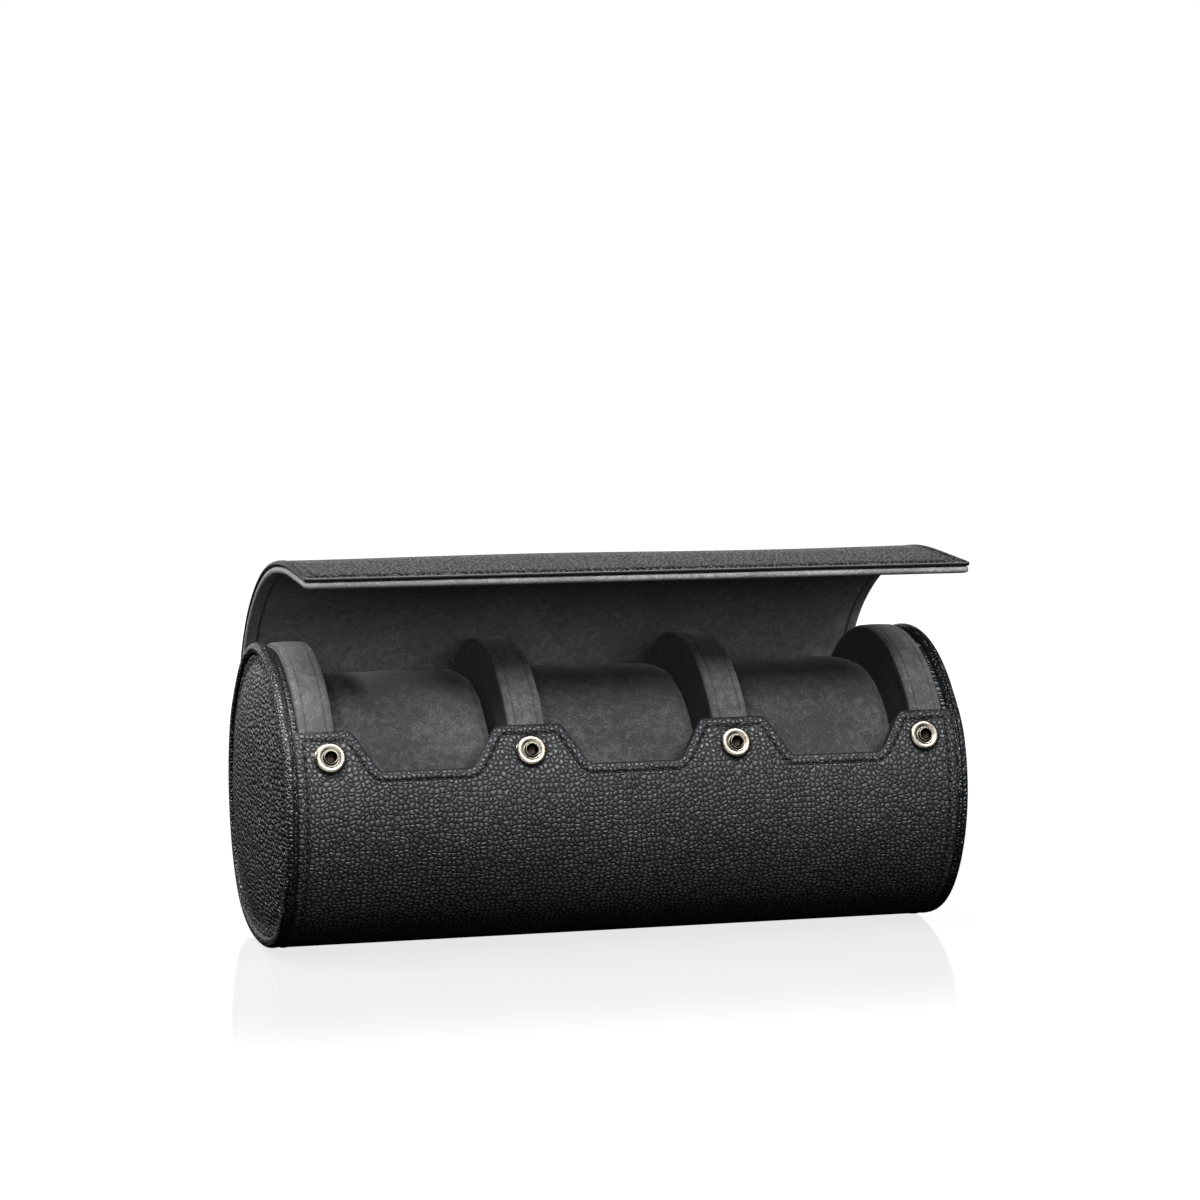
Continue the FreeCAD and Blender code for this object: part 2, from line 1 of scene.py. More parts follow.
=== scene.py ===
import json
import math
import bmesh
import bpy
import numpy as np
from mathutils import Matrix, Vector


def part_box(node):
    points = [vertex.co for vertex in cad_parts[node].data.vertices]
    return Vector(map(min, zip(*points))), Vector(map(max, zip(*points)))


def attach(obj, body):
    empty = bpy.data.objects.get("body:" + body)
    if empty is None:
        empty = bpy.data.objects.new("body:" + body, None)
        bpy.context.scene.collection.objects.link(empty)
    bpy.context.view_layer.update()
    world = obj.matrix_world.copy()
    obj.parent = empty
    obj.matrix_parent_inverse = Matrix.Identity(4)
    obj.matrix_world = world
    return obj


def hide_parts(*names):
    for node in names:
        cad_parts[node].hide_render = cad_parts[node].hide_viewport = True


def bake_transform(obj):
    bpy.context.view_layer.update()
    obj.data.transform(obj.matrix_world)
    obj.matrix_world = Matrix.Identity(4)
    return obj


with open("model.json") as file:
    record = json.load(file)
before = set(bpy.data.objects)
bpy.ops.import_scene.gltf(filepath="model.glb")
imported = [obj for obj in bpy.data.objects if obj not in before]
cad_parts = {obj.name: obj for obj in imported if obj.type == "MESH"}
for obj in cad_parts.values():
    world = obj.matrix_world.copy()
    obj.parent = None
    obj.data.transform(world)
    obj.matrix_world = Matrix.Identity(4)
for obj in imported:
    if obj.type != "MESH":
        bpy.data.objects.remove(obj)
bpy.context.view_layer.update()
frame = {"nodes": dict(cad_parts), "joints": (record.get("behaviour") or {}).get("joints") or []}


# Places read from the frame

wrapLow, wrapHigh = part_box("body_leather")
rimLow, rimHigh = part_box("divider_left_rim")
drumRadius = (wrapHigh.y - wrapLow.y) / 2
axisHeight = rimHigh.z - (rimHigh.y - rimLow.y) / 2
drumHalf = wrapHigh.x
tabTop = wrapHigh.z - axisHeight
print("frame: drum radius %.4f, axis %.4f above the foot" % (drumRadius, axisHeight))


# Small helpers for surfaces

def gridQuads(rows, columns, first=0, closed=False):
    # point (r, c) is number first + r * columns + c; a closed grid joins its last column to its first
    r = np.arange(rows - 1)[:, None]
    c = np.arange(columns if closed else columns - 1)[None, :]
    here = first + r * columns + c
    beside = first + r * columns + (c + 1) % columns
    return np.stack([here, beside, beside + columns, here + columns], -1).reshape(-1, 4)


def ladderQuads(loop):
    # closes a loop flat: rungs join each point of its first half to the matching one of its second half
    half = len(loop) // 2
    k = np.arange(half - 1)
    return loop[np.stack([k, k + 1, 2 * half - 2 - k, 2 * half - 1 - k], -1)]


def tubeQuads(rows, count):
    # a tube of closed rings, with a flat ladder across its first ring and its last
    ring = np.arange(count)
    lastRing = ring + count * (rows - 1)
    return np.concatenate([gridQuads(rows, count, closed=True), ladderQuads(ring), ladderQuads(lastRing)])


def ringPoints(x, rings):
    # rings of (y, z) points about the drum's axis, each set at its own x
    rings = np.asarray(rings)
    across = np.broadcast_to(x[:, None, None], rings.shape[:2] + (1,))
    return np.concatenate([across, rings + (0, axisHeight)], -1)


def turnFaces(mesh, upward=False):
    # the faces are turned to point outwards, or an open sheet's to point up
    work = bmesh.new()
    work.from_mesh(mesh)
    bmesh.ops.recalc_face_normals(work, faces=work.faces)
    if upward and sum(face.normal.z for face in work.faces) < 0:
        bmesh.ops.reverse_faces(work, faces=work.faces)
    work.to_mesh(mesh)
    work.free()


def addPiece(name, points, quads, material, body=None, sheetPlace=None, marks=None):
    # a mesh from whole arrays: sheetPlace is its UV map in metres, marks are named numbers per point
    mesh = bpy.data.meshes.new(name)
    mesh.from_pydata(np.asarray(points, float).reshape(-1, 3), [], quads.tolist())
    if sheetPlace is not None:
        corner = np.zeros(len(mesh.loops), np.int32)
        mesh.loops.foreach_get("vertex_index", corner)
        layer = mesh.uv_layers.new(name="sheet")
        layer.uv.foreach_set("vector", np.asarray(sheetPlace, np.float32).reshape(-1, 2)[corner].ravel())
    rest = mesh.attributes.new("rest", "FLOAT_VECTOR", "POINT")
    rest.data.foreach_set("vector", np.asarray(points, np.float32).ravel())
    for markName, values in (marks or {}).items():
        attribute = mesh.attributes.new(markName, "FLOAT", "POINT")
        attribute.data.foreach_set("value", np.asarray(values, np.float32).ravel())
    turnFaces(mesh)
    mesh.shade_smooth()
    mesh.set_sharp_from_angle(angle=math.radians(55))
    mesh.materials.append(material)
    piece = bpy.data.objects.new(name, mesh)
    bpy.context.scene.collection.objects.link(piece)
    if body:
        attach(piece, body)
    return piece


def joinParts(parts):
    # several (points, quads) as one: each part's numbers follow the last one's
    firsts = np.cumsum([0] + [len(points) for points, quads in parts[:-1]])
    points = np.concatenate([points for points, quads in parts])
    quads = np.concatenate([part[1] + first for part, first in zip(parts, firsts)])
    return points, quads


def bump(distance, place, width):
    # a bell-shaped ridge: 1 at the place, fading over the width
    return np.exp(-((distance - place) / width) ** 2)


def smooth(value, low, high):
    # 0 below low, 1 above high, with soft ends
    t = np.clip((value - low) / (high - low), 0, 1)
    return t * t * (3 - 2 * t)


def easedLeast(first, second, softness):
    # the smaller of two distances, with the corner between them eased
    return -softness * np.log(np.exp(-first / softness) + np.exp(-second / softness))


def lengthAlong(path):
    # the distance along a path at each of its points
    return np.concatenate([[0], np.cumsum(np.linalg.norm(np.diff(path, axis=0), axis=1))])


# Materials

def addNode(tree, kind, inputs=None, **settings):
    # a node with its settings; each input takes a number, a colour or another node's socket
    node = tree.nodes.new(kind)
    for name, value in settings.items():
        setattr(node, name, value)
    for name, value in (inputs or {}).items():
        if isinstance(value, bpy.types.NodeSocket):
            tree.links.new(value, node.inputs[name])
        else:
            node.inputs[name].default_value = value
    return node


def newMaterial(name, roughness, **fixed):
    # an empty material with its shader's uniform values set on the shader itself
    material = bpy.data.materials.new(name)
    material.use_nodes = True
    shader = material.node_tree.nodes["Principled BSDF"]
    shader.inputs["Roughness"].default_value = roughness
    for socket, value in fixed.items():
        shader.inputs[socket.replace("_", " ")].default_value = value
    return material, material.node_tree, shader


def mixColours(tree, factor, first, second, blend="MIX"):
    node = addNode(tree, "ShaderNodeMix", {0: factor}, data_type="RGBA", blend_type=blend)
    for socket, value in ((node.inputs[6], first), (node.inputs[7], second)):
        if isinstance(value, bpy.types.NodeSocket):
            tree.links.new(value, socket)
        else:
            socket.default_value = value
    return node.outputs[2]


def doMath(tree, operation, first, second=0.5):
    return addNode(tree, "ShaderNodeMath", {0: first, 1: second}, operation=operation).outputs[0]


def remap(tree, value, low, high, newLow=0.0, newHigh=1.0):
    inputs = {"Value": value, "From Min": low, "From Max": high, "To Min": newLow, "To Max": newHigh}
    return addNode(tree, "ShaderNodeMapRange", inputs, interpolation_type="SMOOTHSTEP").outputs[0]


def addNoise(tree, place, scale, detail, distortion=0.0):
    inputs = {"Vector": place, "Scale": scale, "Detail": detail, "Distortion": distortion}
    return addNode(tree, "ShaderNodeTexNoise", inputs).outputs["Fac"]


def readMark(tree, name):
    return addNode(tree, "ShaderNodeAttribute", attribute_name=name).outputs["Fac"]


def addRelief(tree, shader, height, strength, depth):
    relief = addNode(tree, "ShaderNodeBump", {"Height": height, "Strength": strength, "Distance": depth})
    tree.links.new(relief.outputs[0], shader.inputs["Normal"])
    return relief.outputs[0]


grain = {
    "wander": 0.0008,       # how far the pebbles stray from an even net
    "evenness": 0.85,
    "rounding": 0.3,        # how softly one pebble's dome passes into the next
    "valleyWidth": 0.27,    # in cells
    "valley": (0.0020, 0.0023, 0.0028, 1),
    # the colour of the painted shade in grooves, round the studs and in the gaps at the caps
    "groove": (0.0015, 0.0015, 0.0017, 1),
}
# Painted light and shade: one leather is given a different top colour on each piece, lighter on the wall and
# much darker on the flap, to match how bright each piece appears under the lamps.
leathers = {                # width of a pebble, its stretch along and across, its height, and the finish
    "wallLeather": {"cell": 0.0015, "stretch": (1.0, 1.0), "depth": 0.00026, "gloss": 0.0, "coat": 0.1,
                    "top": (0.068, 0.0715, 0.080, 1)},
    "flapLeather": {"cell": 0.0016, "stretch": (1.0, 1.0), "depth": 0.0006, "gloss": 0.12, "coat": 0.2,
                    "top": (0.010, 0.0112, 0.0135, 1)},
    "capLeather": {"cell": 0.0020, "stretch": (0.7, 1.25), "depth": 0.0005, "gloss": 0.10, "coat": 0.25,
                   "top": (0.034, 0.036, 0.041, 1)},
    "beadLeather": {"cell": 0.0013, "stretch": (1.0, 1.0), "depth": 0.00025, "gloss": 0.14, "coat": 0.4,
                    "top": (0.022, 0.024, 0.028, 1)},
}


def makeLeather(name):
    # rounded pebbles: domes about scattered points, cut by thin valleys where two pebbles meet; the valleys
    # are painted dark and each dome's middle lighter than its sides, partly the grain's own colour and
    # partly painted shade
    kind = leathers[name]
    material, tree, shader = newMaterial(name, 0.42, Specular_IOR_Level=0.5, Coat_Weight=kind["coat"],
                                         Coat_Roughness=0.2)
    place = addNode(tree, "ShaderNodeUVMap", uv_map="sheet").outputs["UV"]
    strayInputs = {"Vector": place, "Scale": 230.0, "Detail": 2.0}
    stray = addNode(tree, "ShaderNodeTexNoise", strayInputs).outputs["Color"]
    middle = addNode(tree, "ShaderNodeVectorMath", {0: stray, 1: (0.5, 0.5, 0.5)}, operation="SUBTRACT")
    offset = addNode(tree, "ShaderNodeVectorMath", {0: middle.outputs[0], "Scale": 2 * grain["wander"]},
                     operation="SCALE")
    moved = addNode(tree, "ShaderNodeVectorMath", {0: place, 1: offset.outputs[0]}, operation="ADD")
    shaped = addNode(tree, "ShaderNodeMapping", {"Vector": moved.outputs[0], "Scale": (*kind["stretch"], 1)})
    net = {"Vector": shaped.outputs[0], "Scale": 1 / kind["cell"], "Randomness": grain["evenness"]}
    border = addNode(tree, "ShaderNodeTexVoronoi", net, feature="DISTANCE_TO_EDGE",
                     voronoi_dimensions="2D").outputs["Distance"]
    dome = addNode(tree, "ShaderNodeTexVoronoi", {**net, "Smoothness": grain["rounding"]},
                   feature="SMOOTH_F1", voronoi_dimensions="2D")
    tone = addNode(tree, "ShaderNodeSeparateColor", {"Color": dome.outputs["Color"]}).outputs["Red"]
    # partly painted shade: each pebble is coloured lighter in its middle and darker towards the valleys
    domed = remap(tree, dome.outputs["Distance"], 0.7, 0.1, 0.55, 1.0)
    raised = doMath(tree, "MULTIPLY", domed, remap(tree, border, 0.0, grain["valleyWidth"]))
    pores = addNoise(tree, place, 3000.0, 3.0)
    patches = addNoise(tree, place, 24.0, 2.0)
    shown = doMath(tree, "MULTIPLY", raised, doMath(tree, "SUBTRACT", 1.0, readMark(tree, "paint")))
    lit = doMath(tree, "MULTIPLY", shown, remap(tree, patches, 0.3, 0.7, 0.75, 1.1))
    lit = doMath(tree, "MULTIPLY", lit, remap(tree, tone, 0.0, 1.0, 0.6, 1.15))
    colour = mixColours(tree, lit, grain["valley"], kind["top"])
    # painted shade: this mark darkens the stitched groove, the ring round each stud and the gaps at the caps
    inGroove = doMath(tree, "MULTIPLY", readMark(tree, "crease"), 0.85)
    colour = mixColours(tree, inGroove, colour, grain["groove"])
    tree.links.new(colour, shader.inputs["Base Color"])
    matte = remap(tree, shown, 0.0, 1.0, 0.62 - kind["gloss"], 0.38 - kind["gloss"])
    matte = doMath(tree, "ADD", matte, remap(tree, pores, 0.2, 0.8, -0.06, 0.08))
    tree.links.new(matte, shader.inputs["Roughness"])
    height = doMath(tree, "ADD", shown, doMath(tree, "MULTIPLY", pores, 0.10))
    relief = addRelief(tree, shader, height, 1.0, kind["depth"])
    tree.links.new(relief, shader.inputs["Coat Normal"])
    return material


nap = {
    "fibre": 2300.0,        # fibres in a metre
    "brush": 420.0,         # the small patches in which the nap lies one way
    "cloud": 38.0,          # the large soft shadings
    "depth": 0.00035,
    "tint": (0.6, 0.585, 0.58, 1),
    # the colour of the painted shade on the divider cheeks
    "shade": (0.01, 0.0095, 0.0095, 1),
    # the colour of the painted shade in seams
    "groove": (0.004, 0.004, 0.0045, 1),
}
# Painted light and shade: one suede is given different colours on each piece; the lining is made much
# lighter to stand in for light that does not reach it.
suedes = {                  # the colour where the nap lies away and towards, and the strength of its sheen
    "liningSuede": {"dark": (0.22, 0.211, 0.214, 1), "light": (0.46, 0.441, 0.446, 1), "sheen": 0.35},
    "traySuede": {"dark": (0.02, 0.0195, 0.0195, 1), "light": (0.06, 0.0575, 0.0575, 1), "sheen": 0.35},
    "dividerSuede": {"dark": (0.075, 0.073, 0.073, 1), "light": (0.18, 0.175, 0.175, 1), "sheen": 0.5},
    "pillowSuede": {"dark": (0.050, 0.048, 0.0485, 1), "light": (0.132, 0.127, 0.128, 1), "sheen": 0.45},
}


def makeSuede(name, bends=False):
    # three sizes of noise mixed: clouds, brushed patches and single fibres; they follow a sheet that bends
    kind = suedes[name]
    material, tree, shader = newMaterial(name, 0.95, Specular_IOR_Level=0.12, Sheen_Weight=kind["sheen"],
                                         Sheen_Roughness=0.45, Sheen_Tint=nap["tint"])
    if bends:
        place = addNode(tree, "ShaderNodeAttribute", attribute_name="rest").outputs["Vector"]
    else:
        place = addNode(tree, "ShaderNodeTexCoord").outputs["Object"]
    brushed = addNoise(tree, place, nap["brush"], 4.0, 0.6)
    fibres = addNoise(tree, place, nap["fibre"], 2.0)
    clouds = doMath(tree, "MULTIPLY", addNoise(tree, place, nap["cloud"], 3.0), 0.25)
    tone = doMath(tree, "ADD", clouds, doMath(tree, "MULTIPLY", brushed, 0.3))
    tone = doMath(tree, "ADD", tone, doMath(tree, "MULTIPLY", fibres, 0.45))
    colour = mixColours(tree, remap(tree, tone, 0.43, 0.66), kind["dark"], kind["light"])
    # painted shade: the divider's cheeks are coloured darker than its band, as the light falls on the band
    colour = mixColours(tree, doMath(tree, "MULTIPLY", readMark(tree, "dim"), 0.75), colour, nap["shade"])
    # painted shade: this mark darkens the seams of the lining, dividers and pillows
    colour = mixColours(tree, doMath(tree, "MULTIPLY", readMark(tree, "crease"), 0.8), colour, nap["groove"])
    tree.links.new(colour, shader.inputs["Base Color"])
    height = doMath(tree, "ADD", doMath(tree, "MULTIPLY", fibres, 0.5), brushed)
    addRelief(tree, shader, height, 0.7, nap["depth"])
    return material


def makeNickel(name):
    # plated metal: faint turned scratches vary the gloss, and painted shade darkens the hollow
    material, tree, shader = newMaterial(name, 0.2, Metallic=1.0)
    place = addNode(tree, "ShaderNodeTexCoord").outputs["Object"]
    scratches = addNoise(tree, place, 1800.0, 4.0)
    colour = mixColours(tree, scratches, (0.15, 0.135, 0.11, 1), (0.30, 0.275, 0.23, 1))
    # painted shade: the hollow of each stud and the bore of each socket are coloured near black
    colour = mixColours(tree, readMark(tree, "crease"), colour, (0.008, 0.006, 0.005, 1))
    tree.links.new(colour, shader.inputs["Base Color"])
    tree.links.new(remap(tree, scratches, 0.3, 0.7, 0.24, 0.38), shader.inputs["Roughness"])
    return material


def makeThread(name):
    # waxed black thread: fine twist lines across the yarn
    material, tree, shader = newMaterial(name, 0.55, Specular_IOR_Level=0.4)
    place = addNode(tree, "ShaderNodeTexCoord").outputs["Object"]
    twist = addNoise(tree, place, 3500.0, 2.0)
    colour = mixColours(tree, twist, (0.004, 0.004, 0.005, 1), (0.02, 0.021, 0.024, 1))
    tree.links.new(colour, shader.inputs["Base Color"])
    addRelief(tree, shader, twist, 0.4, 0.0001)
    return material


wallLeatherFinish = makeLeather("wallLeather")
flapLeatherFinish = makeLeather("flapLeather")
capLeatherFinish = makeLeather("capLeather")
beadLeatherFinish = makeLeather("beadLeather")
liningFinish = makeSuede("liningSuede", bends=True)
trayFinish = makeSuede("traySuede")
dividerFinish = makeSuede("dividerSuede")
pillowFinish = makeSuede("pillowSuede")
nickelFinish = makeNickel("nickel")
threadFinish = makeThread("blackThread")
print("materials: leather, suede, nickel and thread")


# Outlines of the drum's section, as arrays of (y, z) about the drum's axis

footEase = 0.008            # how softly the round wall passes into the flat foot


def drumDistance(angle, radius, drop):
    # the nearer of the round wall and the flat foot, with the corner between them eased
    # the foot starts a little lower, so that easing leaves its middle at the drop
    lower = -footEase * math.log(math.exp(-drop / footEase) - math.exp(-radius / footEase))
    foot = np.minimum(lower / np.maximum(-np.sin(angle), 1e-6), 3 * radius)
    return easedLeast(radius, foot, footEase)


def alongOutline(y, z, count=None, step=None):
    # the same line with its points evenly spaced, and each point's distance along it
    length = lengthAlong(np.stack([y, z], 1))
    steps = count or max(2, int(round(length[-1] / step)) + 1)
    place = np.linspace(0, length[-1], steps)
    return np.interp(place, length, y), np.interp(place, length, z), place


def drumLoop(radius, drop, count):
    # the whole section as a closed loop that starts at the top and is the same on both sides
    angle = math.pi / 2 + np.linspace(0, 2 * math.pi, 4001)
    distance = drumDistance(angle, radius, drop)
    y, z, place = alongOutline(distance * np.cos(angle), distance * np.sin(angle), count=count + 1)
    return y[:-1], z[:-1], place[:-1]


# The leather sheet: one skin from the front edge, under the drum, up the back and over as the flap

sheetEdge = {
    "roll": 0.0007,         # how far the rounded edge stands out past the sheet's net
    "groove": 0.0031,       # the stitched line's distance from the edge
    "grooveWidth": 0.00034,
    "grooveDepth": 0.00042,
    "bandPuff": 0.00016,
}
# rows of points inside an edge, closest together at the groove
edgeSteps = np.array([0.7, 0.9, 1.2, 1.6, 2.0, 2.3, 2.55, 2.75, 2.92, 3.1, 3.28, 3.45, 3.65, 3.9, 4.3, 5.0,
                      6.0]) / 1000


def edgeRelief(distance):
    # height over the sheet: eased down at the edge, a puffed band, and the groove inside it
    band = sheetEdge["bandPuff"] * bump(distance, 0.0018, 0.0009)
    groove = sheetEdge["grooveDepth"] * bump(distance, sheetEdge["groove"], sheetEdge["grooveWidth"])
    fall = 0.00018 * (1 - smooth(distance, 0.0004, 0.0016))
    return band - groove - fall


def edgeMarks(distance):
    # the painted shade in the groove, and the black edge paint
    return bump(distance, sheetEdge["groove"], 0.00038), 1 - smooth(distance, 0.0002, 0.0007)


def boundaryLoop(rows, columns):
    # the grid's outline, once round
    grid = np.arange(rows * columns).reshape(rows, columns)
    return np.concatenate([grid[0], grid[1:, -1], grid[-1, -2::-1], grid[-2:0:-1, 0]])


def sheetShell(outer, inner, rolled, roll, sections=4):
    # a closed sheet: two matching grids, joined round their outline by a half-round edge
    # rolled gives 1 where the outline is rounded and 0 where it ends flat against its neighbour
    rows, columns = outer.shape[:2]
    loop = boundaryLoop(rows, columns)
    outerPoints = outer.reshape(-1, 3)
    innerPoints = inner.reshape(-1, 3)
    top = outerPoints[loop]
    under = innerPoints[loop]
    across = (top - under) / 2
    tangent = np.roll(top, -1, 0) - np.roll(top, 1, 0)
    outward = np.cross(tangent, across)
    outward /= np.linalg.norm(outward, axis=1)[:, None]
    middle = columns // 2
    if outward[middle] @ (outer[0, middle] - outer[1, middle]) < 0:
        outward = -outward
    size = len(loop)
    rings = [top]
    for k in range(1, sections):
        turn = math.pi * k / sections
        ring = (top + under) / 2 + across * math.cos(turn)
        rings.append(ring + outward * (roll * rolled[:, None] * math.sin(turn)))
    rings.append(under)
    count = rows * columns
    between = np.concatenate(rings[1:-1])
    points = np.concatenate([outerPoints, innerPoints, between])
    ids = [loop] + [2 * count + k * size + np.arange(size) for k in range(sections - 1)] + [count + loop]
    quads = [gridQuads(rows, columns), gridQuads(rows, columns, count)[:, ::-1]]
    for first, second in zip(ids[:-1], ids[1:]):
        quads.append(np.stack([first, second, np.roll(second, -1), np.roll(first, -1)], -1))
    return points, np.concatenate(quads), loop


def shellMarks(values, loop, sections, edgeValue):
    # a mark for every point of a sheet shell, from the marks of its outer grid
    flat = values.ravel()
    return np.concatenate([flat, flat * 0, np.full(len(loop) * (sections - 1), edgeValue)])


def shellPlaces(place, loop, sections):
    # UV for every point of a sheet shell: the far side and the edge repeat the outer grid's
    flat = place.reshape(-1, 2)
    return np.concatenate([flat, flat] + [flat[loop]] * (sections - 1))


def sheetColumns(half, step):
    # places across the sheet: close together at both edges, even in the middle
    inside = half - edgeSteps[-1]
    middle = np.linspace(-inside, inside, max(2, int(round(2 * inside / step)) + 1))
    return np.concatenate([-half + edgeSteps[:-1], middle, (half - edgeSteps[:-1])[::-1]])


# The flap's line, from the hinge places in the frame

flapSkin = {
    "lean": math.radians(4.8),          # how far the flap's root leans back
    "swell": math.radians(50),          # the back wall swells outward over this arc below the root
    "tipLength": 0.026,
    "tipTurn": math.radians(1),
    "joinBelowRoot": 0.004,             # how far below the root the case's leather gives way to the flap's
    "halfWidth": 0.1034,
    "narrowing": 0.02,                  # the length over which the back wall narrows to the flap's width
    "leather": 0.0017,
    "lining": 0.0024,
    "liningInset": 0.0003,              # how far inside the leather's sides the lining stops
    "liningTipInset": 0.0004,
    "liningRoll": 0.0009,
    "liningSeam": 0.0036,               # the seam's distance from the lining's edge
    "wallLeather": 0.0015,
    "wave": 0.00025,
    "rows": 0.0008,
    "columns": 0.003,
}
flapJoints = [joint for joint in frame["joints"] if joint["type"] == "hinge"]
flapBodies = ["case"] + [joint["child"] for joint in flapJoints]
rootRadius = flapJoints[0]["pos_m"][1]
rootStep = rootRadius - drumRadius + flapSkin["wallLeather"]
swellPower = math.tan(flapSkin["lean"]) * rootRadius * flapSkin["swell"] / rootStep


def backWall(angle, base):
    # distance from the axis of a layer that lies at base on the round wall and swells towards the root
    return base + rootStep * np.clip(1 + angle / flapSkin["swell"], 0, 1) ** swellPower


def flapLine():
    # an arc from each hinge to the next, tangent to the last one, then the tip's own arc
    stops = [(joint["pos_m"][1], joint["pos_m"][2]) for joint in flapJoints]
    heading = -flapSkin["lean"]
    arcs = []
    for (y0, z0), (y1, z1) in zip(stops, stops[1:]):
        chord = math.atan2(-(y1 - y0), z1 - z0)
        turn = 2 * (chord - heading)
        reach = math.hypot(y1 - y0, z1 - z0)
        arcs.append((reach * (turn / 2) / math.sin(turn / 2), turn, heading))
        heading += turn
    arcs.append((flapSkin["tipLength"], flapSkin["tipTurn"], heading))
    starts = np.concatenate([[0], np.cumsum([arc[0] for arc in arcs])])
    return arcs, starts


flapArcs, stripStarts = flapLine()
flapLength = stripStarts[-1]


def flapPlace(distance):
    # the line's (y, z) and its outward direction at each distance from the root; below 0 it follows the wall
    distance = np.asarray(distance, float)
    y = np.zeros_like(distance)
    z = np.zeros_like(distance)
    outY = np.zeros_like(distance)
    outZ = np.zeros_like(distance)
    for index, (length, turn, heading) in enumerate(flapArcs):
        start = stripStarts[index]
        pos = flapJoints[index]["pos_m"]
        inside = (distance >= start) if index else (distance >= 0)
        angle = heading + turn * (distance[inside] - start) / length
        radius = length / turn
        y[inside] = pos[1] + radius * (np.cos(angle) - math.cos(heading))
        z[inside] = pos[2] + radius * (np.sin(angle) - math.sin(heading))
        outY[inside] = np.cos(angle)
        outZ[inside] = np.sin(angle)
    below = distance < 0
    if below.any():
        angle = distance[below] / rootRadius
        radius = backWall(angle, drumRadius - flapSkin["wallLeather"])
        slope = math.tan(flapSkin["lean"]) * np.clip(1 + angle / flapSkin["swell"], 0, 1) ** (swellPower - 1)
        y[below] = radius * np.cos(angle)
        z[below] = axisHeight + radius * np.sin(angle)
        norm = np.hypot(1, slope)
        outY[below] = (np.cos(angle) + slope * np.sin(angle)) / norm
        outZ[below] = (np.sin(angle) - slope * np.cos(angle)) / norm
    return y, z, outY, outZ


# Leather of the case: front edge with its tabs and notches, foot, and back wall

wall = {
    "tabTop": tabTop,
    "notchFloor": 0.0145,
    "notchBottomHalf": 0.0143,
    "notchTopHalf": 0.0228,
    "notchHeight": 0.0134,
    "cornerEase": 0.0012,
    "step": 0.00052,
    "rows": 0.0023,
    "levelLine": -0.004,
    "snapHeight": 0.01865,
    "snapDish": 0.00022,
}
pillowLow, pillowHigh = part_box("pillow_right_cover")
pitch = (pillowLow.x + pillowHigh.x) / 2
studLow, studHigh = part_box("snap_studs")
snapEnd = studHigh.x - (studHigh.z - studLow.z) / 2
snapPlaces = [-snapEnd, -pitch / 2, pitch / 2, snapEnd]


def frontHeight(x):
    # height of the front edge above the axis: tabs, with a trapezoid notch at each compartment
    height = np.full_like(x, wall["tabTop"])
    slantWidth = wall["notchTopHalf"] - wall["notchBottomHalf"]
    for middle in (-pitch, 0, pitch):
        rise = (np.abs(x - middle) - wall["notchBottomHalf"]) / slantWidth
        notch = wall["notchFloor"] + rise * wall["notchHeight"]
        height = np.minimum(height, np.clip(notch, wall["notchFloor"], wall["tabTop"]))
    return height


def frontEdge(x):
    # the front edge's distance along the wall from the axis's height, with its corners eased
    shifts = np.linspace(-wall["cornerEase"], wall["cornerEase"], 9)
    heights = np.mean([frontHeight(x + shift) for shift in shifts], 0)
    return drumRadius * np.arcsin(heights / drumRadius)


def insideEdge(x, inset):
    # a line at a set distance inside the front edge: the lowest of what a disc of that radius touches
    shifts = np.linspace(-1, 1, 61) * inset
    drops = np.sqrt(np.maximum(inset ** 2 - shifts ** 2, 0))
    return np.min([frontEdge(x + shift) - drop for shift, drop in zip(shifts, drops)], 0)


def wallLine():
    # the drum's section from the join below the flap's root, under the foot, to the axis's height in front
    angle = np.linspace(-flapSkin["joinBelowRoot"] / rootRadius, -math.pi, 6001)
    outer = drumDistance(angle, drumRadius, axisHeight)
    swell = backWall(angle, 0.0)
    thick = flapSkin["leather"] - flapSkin["wallLeather"]
    swollen = outer + swell * (1 + thick / rootStep)
    y = swollen * np.cos(angle)
    z = swollen * np.sin(angle)
    return y, z, lengthAlong(np.stack([y, z], 1))


wallY, wallZ, wallLength = wallLine()
wallEnd = wallLength[-1]


def wallPoint(x, along, lift=0.0):
    # a point of the wall: along is its distance from the axis's height in front, positive upward
    x, along, lift = np.broadcast_arrays(np.asarray(x, float), along, lift)
    angle = math.pi - np.clip(along, 0, None) / drumRadius
    place = wallEnd + np.minimum(along, 0)
    y = np.where(along > 0, drumRadius * np.cos(angle), np.interp(place, wallLength, wallY))
    z = np.where(along > 0, drumRadius * np.sin(angle), np.interp(place, wallLength, wallZ))
    tangentY = np.interp(place, wallLength, np.gradient(wallY, wallLength))
    tangentZ = np.interp(place, wallLength, np.gradient(wallZ, wallLength))
    outY = np.where(along > 0, np.cos(angle), tangentZ)
    outZ = np.where(along > 0, np.sin(angle), -tangentY)
    flipped = outY * y + outZ * z < 0
    outY = np.where(flipped, -outY, outY)
    outZ = np.where(flipped, -outZ, outZ)
    size = np.hypot(outY, outZ)
    return np.stack([x, y + outY / size * lift, axisHeight + z + outZ / size * lift], -1)


def narrowing(along):
    # the wall's width as a share of the drum's: 1, but for the last stretch up to the flap
    lost = 1 - flapSkin["halfWidth"] / drumHalf
    return 1 - lost * (1 - smooth(along + wallEnd, 0, flapSkin["narrowing"]))


def snapDistance(x, along):
    # distance along the wall's surface from the nearest snap
    seat = drumRadius * math.asin(wall["snapHeight"] / drumRadius)
    return np.min([np.hypot(x - place, along - seat) for place in snapPlaces], 0)


